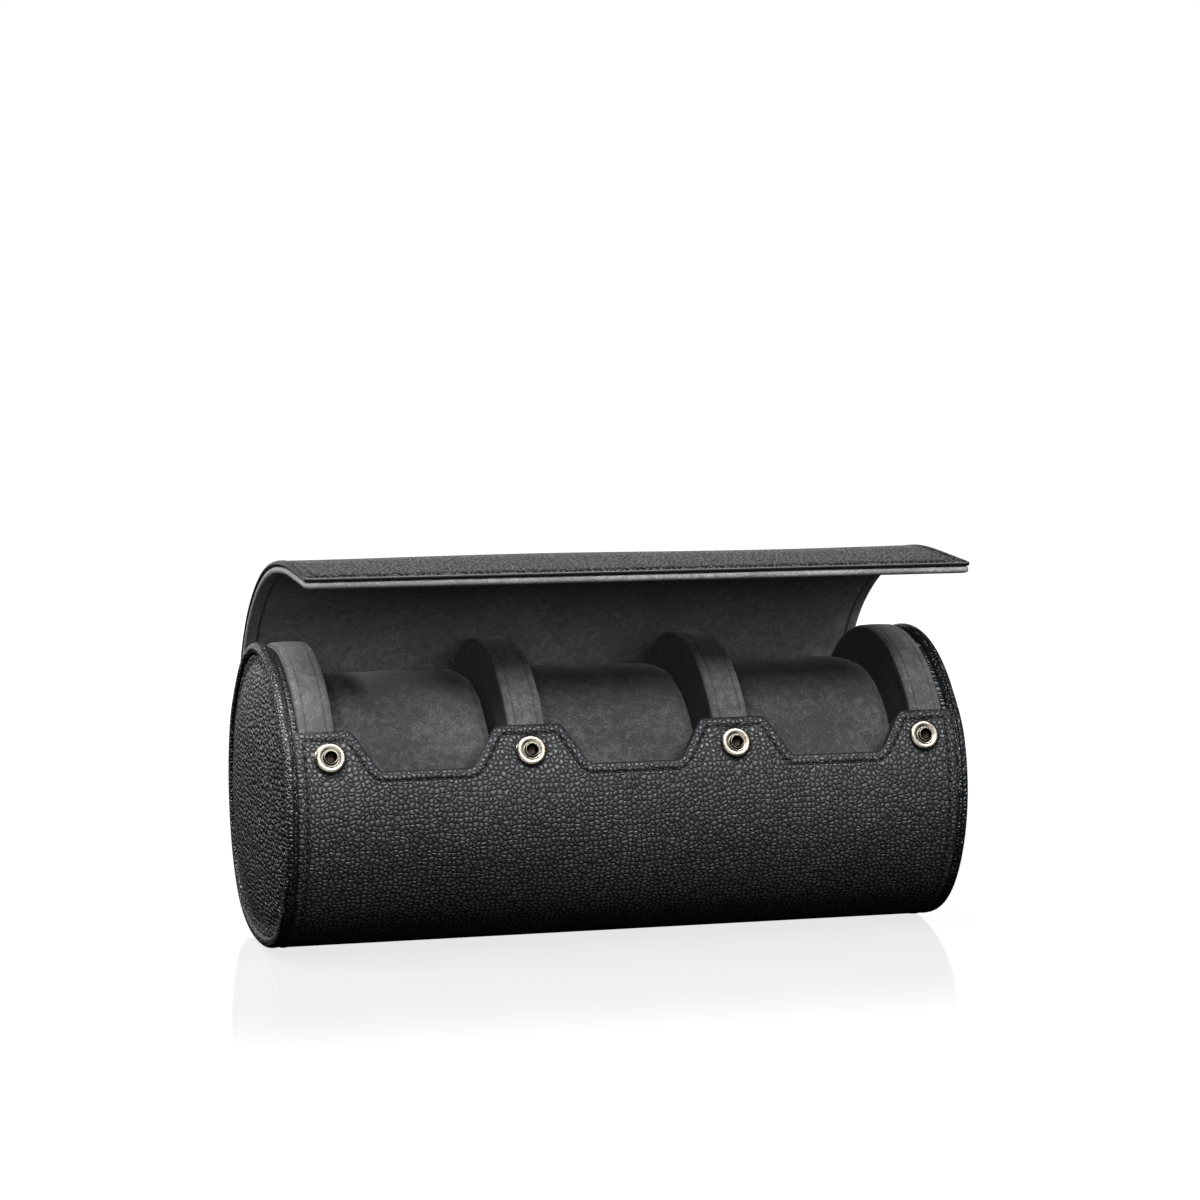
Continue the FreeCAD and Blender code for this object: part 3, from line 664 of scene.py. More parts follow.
def caseLeather():
    # rows that follow the front edge, rows that flatten to a level line below the notches, then level rows
    x = sheetColumns(drumHalf, wall["step"])
    nearEdge = [insideEdge(x, inset) for inset in edgeSteps]
    between = [nearEdge[-1] * (1 - t) + wall["levelLine"] * t for t in np.linspace(0, 1, 14)[1:]]
    level = np.arange(wall["levelLine"] - 0.0018, -wallEnd, -wall["rows"])[:-1]
    level = np.append(level, -wallEnd)
    along = np.array(nearEdge + between + [np.full_like(x, value) for value in level])[::-1]
    farInside = 0.02
    inset = np.concatenate([edgeSteps, np.full(len(between) + len(level), farInside)])[::-1, None]
    sides = drumHalf - np.abs(x)[None, :]
    distance = np.minimum(inset, sides)
    narrowX = x[None, :] * narrowing(along)
    ring = snapDistance(x[None, :], along)
    dish = -wall["snapDish"] * bump(ring, 0.0054, 0.0007) - 0.0001 * bump(ring, 0.0, 0.004)
    lift = edgeRelief(distance) + dish
    outer = wallPoint(narrowX, along, lift)
    inner = wallPoint(narrowX, along, -flapSkin["wallLeather"])
    rows, columns = along.shape
    loop = boundaryLoop(rows, columns)
    rolled = (loop >= columns).astype(float)
    points, quads, loop = sheetShell(outer, inner, rolled, sheetEdge["roll"])
    crease, paint = edgeMarks(np.broadcast_to(distance, along.shape))
    # painted shadow: a dark ring round each snap stud
    crease = np.maximum(crease, 0.8 * bump(ring, 0.0052, 0.0006))
    place = np.stack(np.broadcast_arrays(x[None, :], along), -1)
    marks = {"crease": shellMarks(crease, loop, 4, 0.0), "paint": shellMarks(paint, loop, 4, 1.0)}
    piece = addPiece("caseLeather", points, quads, wallLeatherFinish, "case",
                     shellPlaces(place, loop, 4), marks)
    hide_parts("body_leather")


caseLeather()
print("case leather: done")


# Stitches: short rounded lengths of thread that lie in the groove

stitch = {"pitch": 0.0031, "length": 0.0023, "radius": 0.00027, "sink": 0.00022}


def threadStitches(starts, ends, lifts):
    # each stitch is a six-sided spindle, thick in the middle and dipping into the leather at both ends
    sides = 6
    share = np.array([0.0, 0.12, 0.5, 0.88, 1.0])
    girth = np.array([0.35, 0.85, 1.0, 0.85, 0.35]) * stitch["radius"]
    dip = np.array([-0.9, -0.25, 0.2, -0.25, -0.9]) * stitch["radius"]
    turn = np.linspace(0, 2 * math.pi, sides, endpoint=False)
    run = ends - starts
    run /= np.linalg.norm(run, axis=1)[:, None]
    across = np.cross(run, lifts)
    centre = starts[:, None] + (ends - starts)[:, None] * share[:, None] + lifts[:, None] * dip[:, None]
    sideways = across[:, None, None] * np.cos(turn)[:, None] + lifts[:, None, None] * np.sin(turn)[:, None]
    points = centre[:, :, None] + sideways * girth[:, None, None]
    one = tubeQuads(len(share), sides)
    quads = one + (np.arange(len(starts)) * sides * len(share))[:, None, None]
    return points.reshape(-1, 3), quads.reshape(-1, 4)


def spacedAlong(path):
    # places at even steps along a path: where each stitch starts and ends, as fractions of its points
    length = lengthAlong(path)
    first = np.arange(stitch["pitch"] / 2, length[-1] - stitch["pitch"], stitch["pitch"])
    number = np.arange(len(path))
    return np.interp(first, length, number), np.interp(first + stitch["length"], length, number)


def pointsAt(path, where):
    # the path's points at places given as fractions of its points
    number = np.arange(len(path))
    return np.stack([np.interp(where, number, path[:, k]) for k in range(3)], 1)


def caseStitches():
    # up one side of the wall, along the front edge and down the other side, in the groove
    half = drumHalf - sheetEdge["groove"]
    topX = np.linspace(-half, half, 1500)
    topLine = insideEdge(topX, sheetEdge["groove"])
    down = np.linspace(topLine[0], -wallEnd + 0.002, 900)[1:]
    x = np.concatenate([np.full_like(down, -half), topX, np.full_like(down, half)])
    along = np.concatenate([down[::-1], topLine, down])
    x = x * narrowing(along)
    path = wallPoint(x, along, -stitch["sink"])
    above = wallPoint(x, along, -stitch["sink"] + 0.001)
    begin, finish = spacedAlong(path)
    starts = pointsAt(path, begin)
    lifts = pointsAt(above, begin) - starts
    lifts /= np.linalg.norm(lifts, axis=1)[:, None]
    points, quads = threadStitches(starts, pointsAt(path, finish), lifts)
    addPiece("caseStitches", points, quads, threadFinish, "case")


caseStitches()
print("case stitches: done")


# Flap skins in eight zones, each between the middles of two strips; only the last zone rides a body

def flapSurface(distance, x, level, relief):
    # points of a layer: the line's place, moved out by level, with the sheet's own relief and slight waves;
    # the waves die away towards the root and towards the snaps
    y, z, outY, outZ = flapPlace(distance)
    slack = smooth(distance, 0.03, 0.08) * (1 - smooth(distance, flapLength - 0.045, flapLength - 0.022))
    wave = flapSkin["wave"] * np.sin(x[None, :] * 41.0 + distance[:, None] * 23.0) * slack[:, None]
    lift = level + relief + wave
    return np.stack([np.broadcast_to(x[None, :], lift.shape), y[:, None] + outY[:, None] * lift,
                     z[:, None] + outZ[:, None] * lift], -1)


def zoneRows(start, stop, last):
    # even rows through a zone; the last zone's rows close up towards the free edge
    if not last:
        return np.linspace(start, stop, int(round((stop - start) / flapSkin["rows"])) + 1)
    inside = stop - edgeSteps[-1]
    even = np.linspace(start, inside, int(round((inside - start) / flapSkin["rows"])) + 1)
    return np.concatenate([even[:-1], (stop - edgeSteps)[::-1]])


def addZone(name, layer, rows, x, levels, relief, marks, last):
    # one zone of one layer as a closed sheet; levels are those of the side that shows and of the hidden side
    slot, material, roll, edgePaint = layer
    outer = flapSurface(rows, x, levels[0], relief)
    inner = flapSurface(rows, x, levels[1], 0 * relief)
    columns = len(x)
    loop = boundaryLoop(len(rows), columns)
    row = loop // columns
    rolled = ((row > 0) & ((row < len(rows) - 1) | last)).astype(float)
    corner = (row == 0) | ((row == len(rows) - 1) & (not last))
    atSide = (loop % columns == 0) | (loop % columns == columns - 1)
    rolled = np.where(corner & atSide, 1.0, rolled)
    points, quads, loop = sheetShell(outer, inner, rolled, roll)
    along = -wallEnd - flapSkin["joinBelowRoot"] - rows[:, None]
    place = np.stack(np.broadcast_arrays(x[None, :], along), -1)
    made = {key: shellMarks(value, loop, 4, edgePaint * (key == "paint")) for key, value in marks.items()}
    return addPiece(name, points, quads, material, None, shellPlaces(place, loop, 4), made)


def rideZone(piece, index, stops):
    # the last zone follows the tip; the others ride no body and do not bend
    if index == len(flapBodies) - 1:
        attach(piece, flapBodies[-1])
        return
    y, z, outY, outZ = flapPlace(np.array(stops[index:index + 2]))
    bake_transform(piece)


def leatherZone(name, rows, last):
    half = flapSkin["halfWidth"]
    x = sheetColumns(half, flapSkin["columns"])
    distance = np.minimum(half - np.abs(x)[None, :], (flapLength - rows)[:, None])
    crease, paint = edgeMarks(distance)
    layer = ("black_leather", flapLeatherFinish, sheetEdge["roll"], 1.0)
    return addZone("flapLeather_" + name, layer, rows, x, (flapSkin["leather"], 0.0), edgeRelief(distance),
                   {"crease": crease, "paint": paint}, last)


def liningZone(name, rows, last):
    # thinned towards the root, with a raised seam inside its edge; it stops a little inside the leather
    half = flapSkin["halfWidth"] - flapSkin["liningInset"]
    x = sheetColumns(half, flapSkin["columns"])
    inset = flapSkin["liningTipInset"]
    if last:
        rows = np.where(rows > flapLength - 0.01, rows - inset, rows)
    distance = np.minimum(half - np.abs(x)[None, :], (flapLength - inset - rows)[:, None])
    seam = bump(distance, flapSkin["liningSeam"], 0.0004)
    relief = 0.00035 * seam + 0.0003 * (1 - smooth(distance, 0.0005, 0.002))
    thickness = flapSkin["lining"] * (smooth(rows, -0.004, 0.006)[:, None] * 0.6 + 0.4)
    layer = ("lining_suede", liningFinish, flapSkin["liningRoll"], 0.0)
    levels = (-thickness, -0.00002)
    # painted shade along the lining's seam
    return addZone("flapLining_" + name, layer, rows, x, levels, relief, {"crease": seam}, last)


def flapSkins():
    middles = (stripStarts[:-1] + stripStarts[1:]) / 2
    stops = np.concatenate([[-flapSkin["joinBelowRoot"]], middles, [flapLength]])
    names = ["root"] + [body.replace("flap_", "") for body in flapBodies[1:]]
    for index, name in enumerate(names):
        last = index == len(names) - 1
        rows = zoneRows(stops[index], stops[index + 1], last)
        for makeZone, part in ((leatherZone, "_leather"), (liningZone, "_lining")):
            piece = makeZone(name, rows, last)
            rideZone(piece, index, stops)
            if index:
                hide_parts(flapBodies[index] + part)


flapSkins()
print("flap skins: %d zones" % len(flapBodies))


# Tray suede: one lined trough in each compartment

tray = {
    "radius": 0.0461,
    "back": 0.00235,        # the thickness of suede and board together
    "lip": 0.0011,
    "belowEdge": 0.0011,
    "side": 0.02645,
    "step": 0.0007,
}


def traySuede(name, middle, nodes):
    # the drum's section inside the wall from the back to the front, then up to just below the front edge
    x = middle + np.linspace(-tray["side"], tray["side"], int(2 * tray["side"] / tray["step"]))
    innerDrop = axisHeight - (drumRadius - tray["radius"])
    angle = np.linspace(0.0, -math.pi, 3001)
    distance = drumDistance(angle, tray["radius"], innerDrop)
    y, z, place = alongOutline(distance * np.cos(angle), distance * np.sin(angle), step=0.0025)
    shown = np.arctan2(z, y)
    shown = np.where(shown > 0.5, shown - 2 * math.pi, shown)
    far = drumDistance(shown, tray["radius"] + tray["back"], innerDrop + tray["back"])
    edge = (frontEdge(x) - tray["belowEdge"] - tray["lip"]) / drumRadius
    rise = np.linspace(0, 1, 16)[1:, None] * edge[None, :]
    shape = (len(shown), len(x))
    angles = np.concatenate([np.broadcast_to(shown[:, None], shape), -math.pi - rise])
    sides = []
    for below, above in ((np.hypot(y, z), tray["radius"]), (far, tray["radius"] + tray["back"])):
        radius = np.concatenate([np.broadcast_to(below[:, None], shape), np.full_like(rise, above)])
        sides.append(np.stack([np.broadcast_to(x[None, :], angles.shape), radius * np.cos(angles),
                               axisHeight + radius * np.sin(angles)], -1))
    loop = boundaryLoop(*angles.shape)
    row = loop // len(x)
    rolled = ((row == 0) | (row == len(angles) - 1)).astype(float)
    points, quads, loop = sheetShell(sides[0], sides[1], rolled, tray["lip"], 6)
    piece = addPiece(name, points, quads, trayFinish, "case")
    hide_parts(*nodes)


for step, side in ((-1, "left"), (0, "middle"), (1, "right")):
    traySuede("traySuede_" + side, step * pitch, ("tray_board_" + side, "tray_lining_" + side))
print("tray suede: 3 troughs")


# Dividers: a padded disc with a suede band round it and a fine seam near each edge of the band

divider = {
    "corner": 0.0011,
    "seamInset": 0.0020,
    "seamDepth": 0.00028,
    "seamWidth": 0.00028,
    "bandPuff": 0.00025,
    "cheekStart": 0.0024,   # how far inside the band the flat cheek starts
    "cheekDish": 0.0003,    # how far the cheek is sunk between its edge and its middle
    "loop": 260,
}


def dividerProfile(half):
    # across the band: (x, inset) pairs from the middle of one cheek, over its rounded corner and the band
    corner = divider["corner"]
    turn = np.linspace(0, math.pi / 2, 8)
    cheekInset = np.append([0.040, 0.034, 0.026, 0.018, 0.012, 0.008, 0.0055, 0.004, 0.003],
                           divider["cheekStart"])
    cheekX = np.full(len(cheekInset), -half)
    cornerX = -half + corner * (1 - np.sin(math.pi / 2 - turn))
    cornerInset = corner * (1 - np.sin(turn))
    seam = half - divider["seamInset"] - 0.0006
    band = np.concatenate([np.linspace(-half + corner + 0.0002, -seam + 0.0008, 14),
                           np.linspace(-seam + 0.0012, seam - 0.0012, 9),
                           np.linspace(seam - 0.0008, half - corner - 0.0002, 14)])
    x = np.concatenate([cheekX, cornerX, band, -cornerX[::-1], -cheekX])
    inset = np.concatenate([cheekInset, cornerInset, 0 * band, cornerInset[::-1], cheekInset[::-1]])
    onBand = inset < 1e-6
    groove = bump(np.abs(x), half - divider["seamInset"] - corner * 0.35, divider["seamWidth"]) * onBand
    puff = divider["bandPuff"] * (1 - (x / half) ** 2) * onBand
    return x, inset + divider["seamDepth"] * groove - puff, groove


def addDivider(name, nodes):
    # the divider's outline repeated across its width, nearer the axis by the profile's inset
    low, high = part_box(name + "_rim")
    half = (high.x - low.x) / 2
    middle = (high.x + low.x) / 2
    radius = (high.y - low.y) / 2
    drop = axisHeight - low.z
    count = divider["loop"]
    x, inset, groove = dividerProfile(half)
    rings = [np.stack(drumLoop(radius - distance, drop - distance, count)[:2], -1) for distance in inset]
    cheek = np.clip((inset - divider["cheekStart"]) / 0.03, 0, 1)
    sunk = divider["cheekDish"] * np.abs(np.sin(np.sqrt(cheek) * math.pi)) * np.sign(x)
    points = ringPoints(middle + x - sunk, rings)
    quads = tubeQuads(len(x), count)
    # painted shade: the seam groove is darkened, and the cheeks and corners are coloured darker than the
    # band
    marks = {"crease": np.repeat(0.4 * groove, count), "dim": np.repeat(inset > 0.0006, count)}
    piece = addPiece(name.replace("_", "") + "Suede", points, quads, dividerFinish, "case",
                     marks=marks)
    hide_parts(*nodes)


for name in ("divider_left_end", "divider_left", "divider_right", "divider_right_end"):
    ends = ("_core", "_rim", "_left_face", "_right_face")
    addDivider(name, [name + end for end in ends if name + end in frame["nodes"]])
print("dividers: 4")


# End caps: a leather bead round the end and a domed leather face inside it

cap = {
    "beadAcross": (0.00175, 0.0019),    # half the bead's size along the radius and along the axis
    "beadMiddle": (0.0017, 0.00135),    # how far its middle lies inside the wall and past the wall's end
    "beadAround": 0.0115,
    "domeEdge": 0.0463,
    "domeRim": 0.0023,
    "domeHeight": 0.0056,
    "rimGroove": 0.00055,
    "tuck": 0.0016,         # how much nearer the axis the cap's edge runs where no wall covers it
    "tuckHeights": (0.018, 0.034),
    "loop": 320,
}


def capLoop(radius, drop):
    # the drum's outline, drawn in a little above the snap tabs
    y, z, place = drumLoop(radius, drop, cap["loop"])
    inward = 1 - cap["tuck"] * smooth(z, *cap["tuckHeights"]) / np.hypot(y, z)
    return y * inward, z * inward, place


def capRings(insets, radius, drop):
    # the end's outline repeated, nearer the axis by each inset
    return np.array([np.stack(capLoop(radius - inset, drop - inset)[:2], -1) for inset in insets])


def swollen(wave):
    # a wave made blunter, so that the bead's section is fuller than an oval
    return np.sign(wave) * np.abs(wave) ** 0.8


def capBead(word, side):
    # a bead with a full oval section carried round the drum's outline; its outside is flush with the wall
    turn = np.linspace(0, 2 * math.pi, 24, endpoint=False)
    rows = len(turn)
    count = cap["loop"]
    inset = cap["beadMiddle"][0] - cap["beadAcross"][0] * swollen(np.cos(turn))
    push = cap["beadMiddle"][1] + cap["beadAcross"][1] * swollen(np.sin(turn))
    points = ringPoints(side * (drumHalf + push), capRings(inset, drumRadius, axisHeight))
    quads = gridQuads(rows, count, closed=True)
    lastRow = gridQuads(2, count, closed=True)
    closing = np.where(lastRow >= count, lastRow - count, lastRow + count * (rows - 1))
    place = capLoop(drumRadius - inset[-1], axisHeight - inset[-1])[2]
    around = cap["beadAround"] * turn / (2 * math.pi)
    sheetPlace = np.stack(np.broadcast_arrays(place[None, :], around[:, None]), -1)
    # painted shade: the bead's side nearer the axis, where it meets the dome, is darkened
    crease = np.repeat(np.cos(turn) < -0.55, count)
    piece = addPiece("capBead_" + word, points, np.concatenate([quads, closing]),
                     beadLeatherFinish, "case", sheetPlace, {"crease": crease})
    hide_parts("cap_%s_piping" % word)


def capDome(word, side):
    # loops shrinking from a tucked edge to the middle: a rounded rim, then a shallow dome
    turn = np.linspace(0, math.pi / 2, 10)
    rim = cap["domeRim"]
    rimInset = rim * 0.8 * (1 - np.sin(turn))
    rimPush = rim * 0.9 * (1 - np.cos(turn))
    start = drumRadius - cap["domeEdge"]
    share = np.linspace(0, 1, 40)[1:]
    domeInset = share * (axisHeight - start - 0.003)
    domePush = rim * 0.9 + (cap["domeHeight"] - rim * 0.9) * (1 - (1 - share) ** 2.2)
    domePush -= cap["rimGroove"] * bump(share, 0.075, 0.03)
    inset = np.concatenate([[0.006, 0.0015], rimInset, domeInset])
    push = np.concatenate([[0.0001, 0.0001], rimPush + 0.0002, domePush])
    points = ringPoints(side * (drumHalf + push), capRings(inset, drumRadius - start, axisHeight - start))
    # painted shade: the rim groove and the edge tucked against the end disc are darkened
    crease = np.repeat(bump(inset, 0.0032, 0.0006) * 0.5 + (push < 0.0006), cap["loop"])
    piece = addPiece("capDome_" + word, points, tubeQuads(len(push), cap["loop"]),
                     capLeatherFinish, "case", points[..., 1:], {"crease": crease})
    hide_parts("cap_%s_leather" % word, "cap_%s_foam" % word)


def endDisc(word):
    # the end board wrapped in black leather: a thin disc with an eased rim
    low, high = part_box("cap_%s_board" % word)
    half = np.array([0.035, 0.02, 0.008, 0.0005, 0.00015, 0.0])
    inset = np.concatenate([half, half[::-1]])
    share = np.array([0, 0, 0, 0, 0.06, 0.18, 0.82, 0.94, 1, 1, 1, 1])
    rings = capRings(inset, (high.y - low.y) / 2, axisHeight - low.z)
    points = ringPoints(low.x + (high.x - low.x) * share, rings)
    # painted shade: the whole end disc is darkened evenly
    piece = addPiece("endDisc_" + word, points, tubeQuads(len(inset), cap["loop"]),
                     beadLeatherFinish, "case", points[..., 1:], {"crease": np.full(points.shape[:2], 0.3)})
    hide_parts("cap_%s_board" % word)


for side, word in ((-1, "left"), (1, "right")):
    endDisc(word)
    capBead(word, side)
    capDome(word, side)
print("end caps: 2")


# Snaps: turned nickel studs on the wall, rings with a rolled lip in the flap's tip

snap = {
    "around": 48,
    "socketReach": 0.014,   # from the start of the tip to the sockets' middles
    # the turned profiles as (radius, height) in millimetres
    "stud": [(1.0, -0.5), (4.3, -0.4), (4.85, -0.1), (4.85, 0.5), (4.3, 0.95), (3.3, 1.0), (2.5, 0.7),
             (2.15, 0.9), (2.15, 1.5), (2.1, 1.9), (1.8, 1.85), (1.6, 1.4), (1.6, 0.5), (0.3, 0.4)],
    "socket": [(1.0, 0.2), (4.55, 0.2), (4.6, -2.0), (4.5, -2.65), (3.9, -2.8), (3.0, -2.75), (2.5, -2.4),
               (2.45, -1.6), (2.45, -0.3), (0.3, -0.2)],
}


def turned(centre, direction, profile):
    # a lathe: the profile of radius and height carried round the direction through the centre
    sideways = np.array([1.0, 0.0, 0.0])
    upward = np.cross(direction, sideways)
    turn = np.linspace(0, 2 * math.pi, snap["around"], endpoint=False)[:, None]
    circle = sideways * np.cos(turn) + upward * np.sin(turn)
    radii, heights = profile[:, 0, None, None], profile[:, 1, None, None]
    points = centre + circle * radii + direction * heights
    return points.reshape(-1, 3), tubeQuads(len(profile), snap["around"])


def eased(corners, steps=4):
    # a profile with its corners rounded: each gives way to a curve between the middles of its sides
    corners = np.array(corners, float) / 1000
    middles = (corners[:-1] + corners[1:]) / 2
    t = np.linspace(0, 1, steps + 1)[:, None]
    line = [corners[:1]]
    for before, corner, after in zip(middles[:-1], corners[1:-1], middles[1:]):
        line.append((1 - t) ** 2 * before + 2 * t * (1 - t) * corner + t ** 2 * after)
    line.append(corners[-1:])
    return np.concatenate(line)


def addSnaps(name, profile, centres, direction, shade, body):
    # the same turned part at each centre; shade darkens the hollow, given at each point of the profile
    points, quads = joinParts([turned(centre, np.array(direction), profile) for centre in centres])
    crease = np.tile(np.repeat(shade, snap["around"]), len(centres))
    return addPiece(name, points, quads, nickelFinish, body, marks={"crease": crease})


def snapStuds():
    profile = eased(snap["stud"])
    angle = math.asin(wall["snapHeight"] / drumRadius)
    y = -drumRadius * math.cos(angle)
    centres = [np.array([x, y, axisHeight + wall["snapHeight"]]) for x in snapPlaces]
    share = np.linspace(0, 1, len(profile))
    # painted shade in the stud's hole and in the dip between flange and post
    shade = np.maximum((share > 0.83) * 1.0, bump(share, 0.5, 0.045) * 0.5)
    piece = addSnaps("snapStuds", profile, centres, (0, -math.cos(angle), math.sin(angle)), shade, "case")
    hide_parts("snap_studs", "snap_rivets")


def snapSockets():
    # the ring stands a little proud of the lining and its bore is open to the back plate
    profile = eased(snap["socket"])
    tip = stripStarts[-2] + snap["socketReach"]
    y, z, outY, outZ = flapPlace(np.array([tip]))
    centres = [np.array([x, y[0], z[0]]) for x in snapPlaces]
    # painted shade in the socket's bore
    shade = (np.linspace(0, 1, len(profile)) > 0.8) * 0.9
    piece = addSnaps("snapSockets", profile, centres, (0, outY[0], outZ[0]), shade, flapBodies[-1])
    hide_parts("snap_sockets", "snap_socket_backs")


snapStuds()
snapSockets()
print("snaps: 4 studs and 4 sockets")


# Pillows: stuffed forms, inflated as cloth

pillow = {
    "radius": 0.0386,
    "foot": 0.0130,
    "half": 0.0252,
    "corner": 0.0058,
    "voxel": 0.004,
    "pressure": 4.0,
    "frames": 20,
    "most": 0.0010,         # the farthest that the stuffing may push a point
    "press": 0.0004,        # how softly the ends are pressed flat against the dividers
    "footEase": 0.0016,
    "slack": 0.0002,
    "seam": 0.00025,
    "loop": 120,
}


def pillowLoop(inset, lowest):
    # a round top, straight sides that lean in, and a flat foot, all nearer the middle by inset
    radius = pillow["radius"] - inset
    drop = lowest - inset
    half = pillow["foot"] - inset * 0.5
    lean = math.atan2(drop, half) - math.acos(radius / math.hypot(half, drop))
    angle = math.pi / 2 + np.linspace(0, 2 * math.pi, 3001)
    fold = np.abs((angle - math.pi / 2) % (2 * math.pi) - math.pi)
    below = math.pi / 2 - fold
    side = np.where(below > lean, radius / np.maximum(np.cos(below - lean), 0.2), radius)
    foot = drop / np.maximum(np.sin(below), 0.05)
    distance = easedLeast(side, foot, pillow["footEase"])
    y, z, place = alongOutline(distance * np.cos(angle), distance * np.sin(angle), count=pillow["loop"] + 1)
    return y[:-1], z[:-1]


def pillowForm(middle, lowest):
    # loops from the middle of one end, over its rounded corner, along the pillow and down the other end
    corner = pillow["corner"]
    half = pillow["half"]
    turn = np.linspace(0, math.pi / 2, 7)
    endInset = np.array([0.034, 0.028, 0.022, 0.016, 0.011, 0.008])
    startInset = np.concatenate([endInset, corner * (1 - np.sin(turn))])
    startX = np.concatenate([np.full_like(endInset, -half), -half + corner * (1 - np.cos(turn))])
    inset = np.concatenate([startInset, np.zeros(9), startInset[::-1]])
    x = np.concatenate([startX, np.linspace(startX[-1], -startX[-1], 11)[1:-1], -startX[::-1]])
    points = ringPoints(middle + x, [np.stack(pillowLoop(distance, lowest), -1) for distance in inset])
    return points, tubeQuads(len(x), pillow["loop"])


def pointsOf(piece):
    points = np.zeros(len(piece.data.vertices) * 3)
    piece.data.vertices.foreach_get("co", points)
    return points.reshape(-1, 3)


def inflate(piece):
    # the form remeshed in even cells, blown up as cloth with no gravity, each point held near its start
    bpy.context.view_layer.objects.active = piece
    piece.select_set(True)
    remesh = piece.modifiers.new("evenCells", "REMESH")
    remesh.mode = "VOXEL"
    remesh.voxel_size = pillow["voxel"]
    bpy.ops.object.modifier_apply(modifier=remesh.name)
    before = pointsOf(piece)
    cloth = piece.modifiers.new("stuffing", "CLOTH")
    cloth.settings.use_pressure = True
    cloth.settings.uniform_pressure_force = pillow["pressure"]
    cloth.settings.effector_weights.gravity = 0
    scene = bpy.context.scene
    for number in range(1, pillow["frames"] + 1):
        scene.frame_set(number)
    bpy.ops.object.modifier_apply(modifier=cloth.name)
    scene.frame_set(1)
    moved = pointsOf(piece) - before
    size = np.linalg.norm(moved, axis=1)[:, None]
    kept = pillow["most"] * np.tanh(size / pillow["most"])
    piece.data.vertices.foreach_set("co", (before + moved / np.maximum(size, 1e-9) * kept).ravel())
    piece.select_set(False)


def finishPillow(piece, word, middle, low, high):
    # two rounds of subdivision, then the cover is pressed flat where it meets the dividers and the floor
    rounder = piece.modifiers.new("rounder", "SUBSURF")
    rounder.levels = rounder.render_levels = 2
    bpy.context.view_layer.objects.active = piece
    bpy.ops.object.modifier_apply(modifier=rounder.name)
    points = pointsOf(piece)
    limit = (high.x - low.x) / 2 + 0.0008
    side = points[:, 0] - middle
    over = pillow["press"] * np.log1p(np.exp((np.abs(side) - limit) / pillow["press"]))
    points[:, 0] -= np.sign(side) * over
    points[:, 2] = np.maximum(points[:, 2], low.z + 0.0001)
    reach = np.abs(points[:, 0] - middle)
    seam = bump(reach, limit - 0.0042, 0.0005)
    ripple = np.sin(points[:, 0] * 310 + middle * 50) * np.sin(points[:, 1] * 130 + points[:, 2] * 90)
    pull = pillow["slack"] * ripple - pillow["seam"] * seam
    grown = 1 + pull / np.hypot(points[:, 1], points[:, 2] - axisHeight)
    points[:, 1] *= grown
    points[:, 2] = axisHeight + (points[:, 2] - axisHeight) * grown
    piece.data.vertices.foreach_set("co", points.ravel())
    # painted shade: the seam near each end of the cover is darkened
    attribute = piece.data.attributes.new("crease", "FLOAT", "POINT")
    attribute.data.foreach_set("value", (seam * 0.35).astype(np.float32))
    piece.data.shade_smooth()
    piece.data.materials.clear()
    piece.data.materials.append(pillowFinish)
    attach(piece, "pillow_" + word)
    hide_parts(*["pillow_%s_%s" % (word, end) for end in ("foam", "cover", "ends")])


for step, word in ((-1, "left"), (0, "middle"), (1, "right")):
    low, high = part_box("pillow_%s_cover" % word)
    middle = (low.x + high.x) / 2
    points, quads = pillowForm(middle, axisHeight - low.z - 0.0005)
    piece = addPiece("pillow_" + word, points, quads, pillowFinish)
    inflate(piece)
    finishPillow(piece, word, middle, low, high)
    print("pillow %s: done" % word)


# Floor, light and camera

studio = {
    "floorReach": 9.0,
    "floorGlow": 1.0,
    "floorShine": 0.22,
    "floorNear": (-0.23, -0.09),        # the floor brightens towards the front between these places
    "floorFar": (0.25, 0.8),            # and between these distances from the middle
    "floorBright": 1.4,
    "card": (2.0, 1.0, 0.30),           # half width, place and height of the card that the floor mirrors
    "cameraPlace": (-0.2980, -1.0450, 0.1620 + axisHeight),
    "cameraTurn": math.radians(16.044),
    "cameraTilt": math.radians(-5.417),
    "lens": 104.25,
    "lights": {                         # each one's place, target, size and power
        "overhead": ((-0.45, -0.2, 1.5), (0, 0, 0.05), (0.9, 0.8), 34),
        "frontHigh": ((0.35, -1.2, 1.35), (0, 0, 0.06), (1.0, 0.6), 36),
        "frontLow": ((-0.2, -1.8, 0.42), (0, 0, 0.08), (1.2, 0.4), 6),
        "leftSide": ((-1.3, 0.2, 1.0), (-0.1, 0, 0.06), (0.3, 0.3), 14),
    },
}


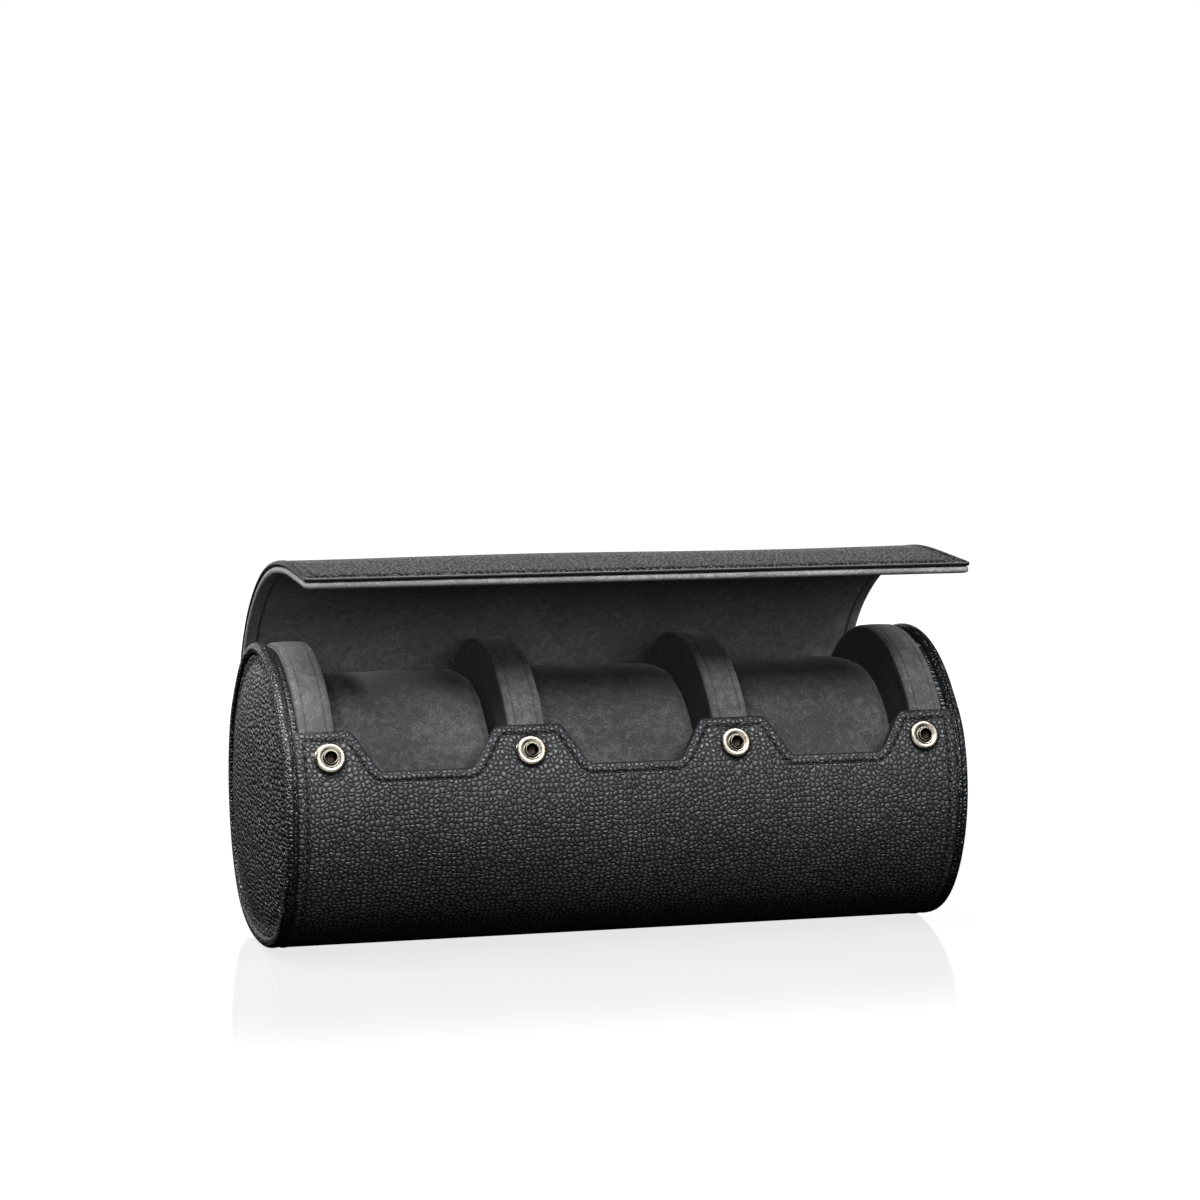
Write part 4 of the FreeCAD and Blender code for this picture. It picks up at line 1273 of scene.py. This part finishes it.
def floor():
    # a large flat disc of pale board, slightly glossy
    turn = np.linspace(0, 2 * math.pi, 64, endpoint=False)
    reach = np.array([studio["floorReach"], 2.0, 0.5, 0.1])
    points = np.stack([reach[:, None] * np.cos(turn), reach[:, None] * np.sin(turn),
                       np.zeros((len(reach), len(turn)))], -1)
    quads = np.concatenate([gridQuads(len(reach), len(turn), closed=True),
                            ladderQuads(np.arange(len(turn)) + len(turn) * (len(reach) - 1))])
    mesh = bpy.data.meshes.new("floor")
    mesh.from_pydata(points.reshape(-1, 3), [], quads.tolist())
    turnFaces(mesh, upward=True)
    material, tree, shader = newMaterial("paleBoard", 0.5)
    tree.nodes.remove(shader)
    place = addNode(tree, "ShaderNodeTexCoord").outputs["Object"]
    away = addNode(tree, "ShaderNodeVectorMath", {0: place}, operation="LENGTH").outputs["Value"]
    ahead = addNode(tree, "ShaderNodeSeparateXYZ", {"Vector": place}).outputs["Y"]
    near = remap(tree, ahead, *studio["floorNear"], studio["floorBright"], studio["floorGlow"])
    far = remap(tree, away, *studio["floorFar"], studio["floorGlow"], studio["floorBright"])
    glow = doMath(tree, "MAXIMUM", near, far)
    cloud = addNoise(tree, place, 3.0, 2.0)
    tint = mixColours(tree, cloud, (0.045, 0.045, 0.045, 1), (0.055, 0.055, 0.055, 1))
    matte = addNode(tree, "ShaderNodeBsdfDiffuse", {"Color": tint}).outputs[0]
    shine = addNode(tree, "ShaderNodeBsdfAnisotropic", {"Roughness": 0.08}).outputs[0]
    lit = addNode(tree, "ShaderNodeEmission", {"Strength": glow}).outputs[0]
    board = addNode(tree, "ShaderNodeAddShader", {0: matte, 1: lit}).outputs[0]
    surface = addNode(tree, "ShaderNodeMixShader", {0: studio["floorShine"], 1: board, 2: shine}).outputs[0]
    tree.links.new(surface, tree.nodes["Material Output"].inputs["Surface"])
    mesh.materials.append(material)
    board = bpy.data.objects.new("floor", mesh)
    bpy.context.scene.collection.objects.link(board)
    board.visible_glossy = False
    board.visible_diffuse = False


def card():
    # a white card behind the case, hidden from the camera: against it the floor mirrors the case faintly
    half, place, height = studio["card"]
    mesh = bpy.data.meshes.new("card")
    corners = [(-half, place, 0), (half, place, 0), (half, place, height), (-half, place, height)]
    mesh.from_pydata(corners, [], [(0, 1, 2, 3)])
    material, tree, shader = newMaterial("card", 0.5)
    shader.inputs["Base Color"].default_value = (0, 0, 0, 1)
    shader.inputs["Emission Color"].default_value = (1, 1, 1, 1)
    shader.inputs["Emission Strength"].default_value = 1.0
    mesh.materials.append(material)
    board = bpy.data.objects.new("card", mesh)
    bpy.context.scene.collection.objects.link(board)
    board.visible_camera = False
    board.visible_diffuse = False


def softbox(name, place, target, size, power):
    # a large soft rectangle of light, turned towards the target
    light = bpy.data.lights.new(name, "AREA")
    light.shape = "RECTANGLE"
    light.size, light.size_y = size
    light.energy = power
    lamp = bpy.data.objects.new(name, light)
    lamp.location = place
    lamp.rotation_mode = "QUATERNION"
    lamp.rotation_quaternion = (Vector(target) - Vector(place)).to_track_quat("-Z", "Y")
    bpy.context.scene.collection.objects.link(lamp)


def camera():
    data = bpy.data.cameras.new("camera")
    data.lens = studio["lens"]
    data.sensor_width = 36
    data.clip_start = 0.05
    data.clip_end = 50
    view = bpy.data.objects.new("camera", data)
    view.location = studio["cameraPlace"]
    view.rotation_euler = (math.pi / 2 + studio["cameraTilt"], 0, -studio["cameraTurn"])
    bpy.context.scene.collection.objects.link(view)
    bpy.context.scene.camera = view


def sky():
    world = bpy.data.worlds.new("studio")
    world.use_nodes = True
    background = world.node_tree.nodes["Background"]
    background.inputs["Color"].default_value = (1, 1, 1, 1)
    background.inputs["Strength"].default_value = 1.0
    bpy.context.scene.world = world
    world.cycles_visibility.diffuse = False
    world.cycles_visibility.glossy = False


floor()
card()
sky()
for name, settings in studio["lights"].items():
    softbox(name, *settings)
camera()
bpy.context.scene.view_settings.view_transform = "Standard"
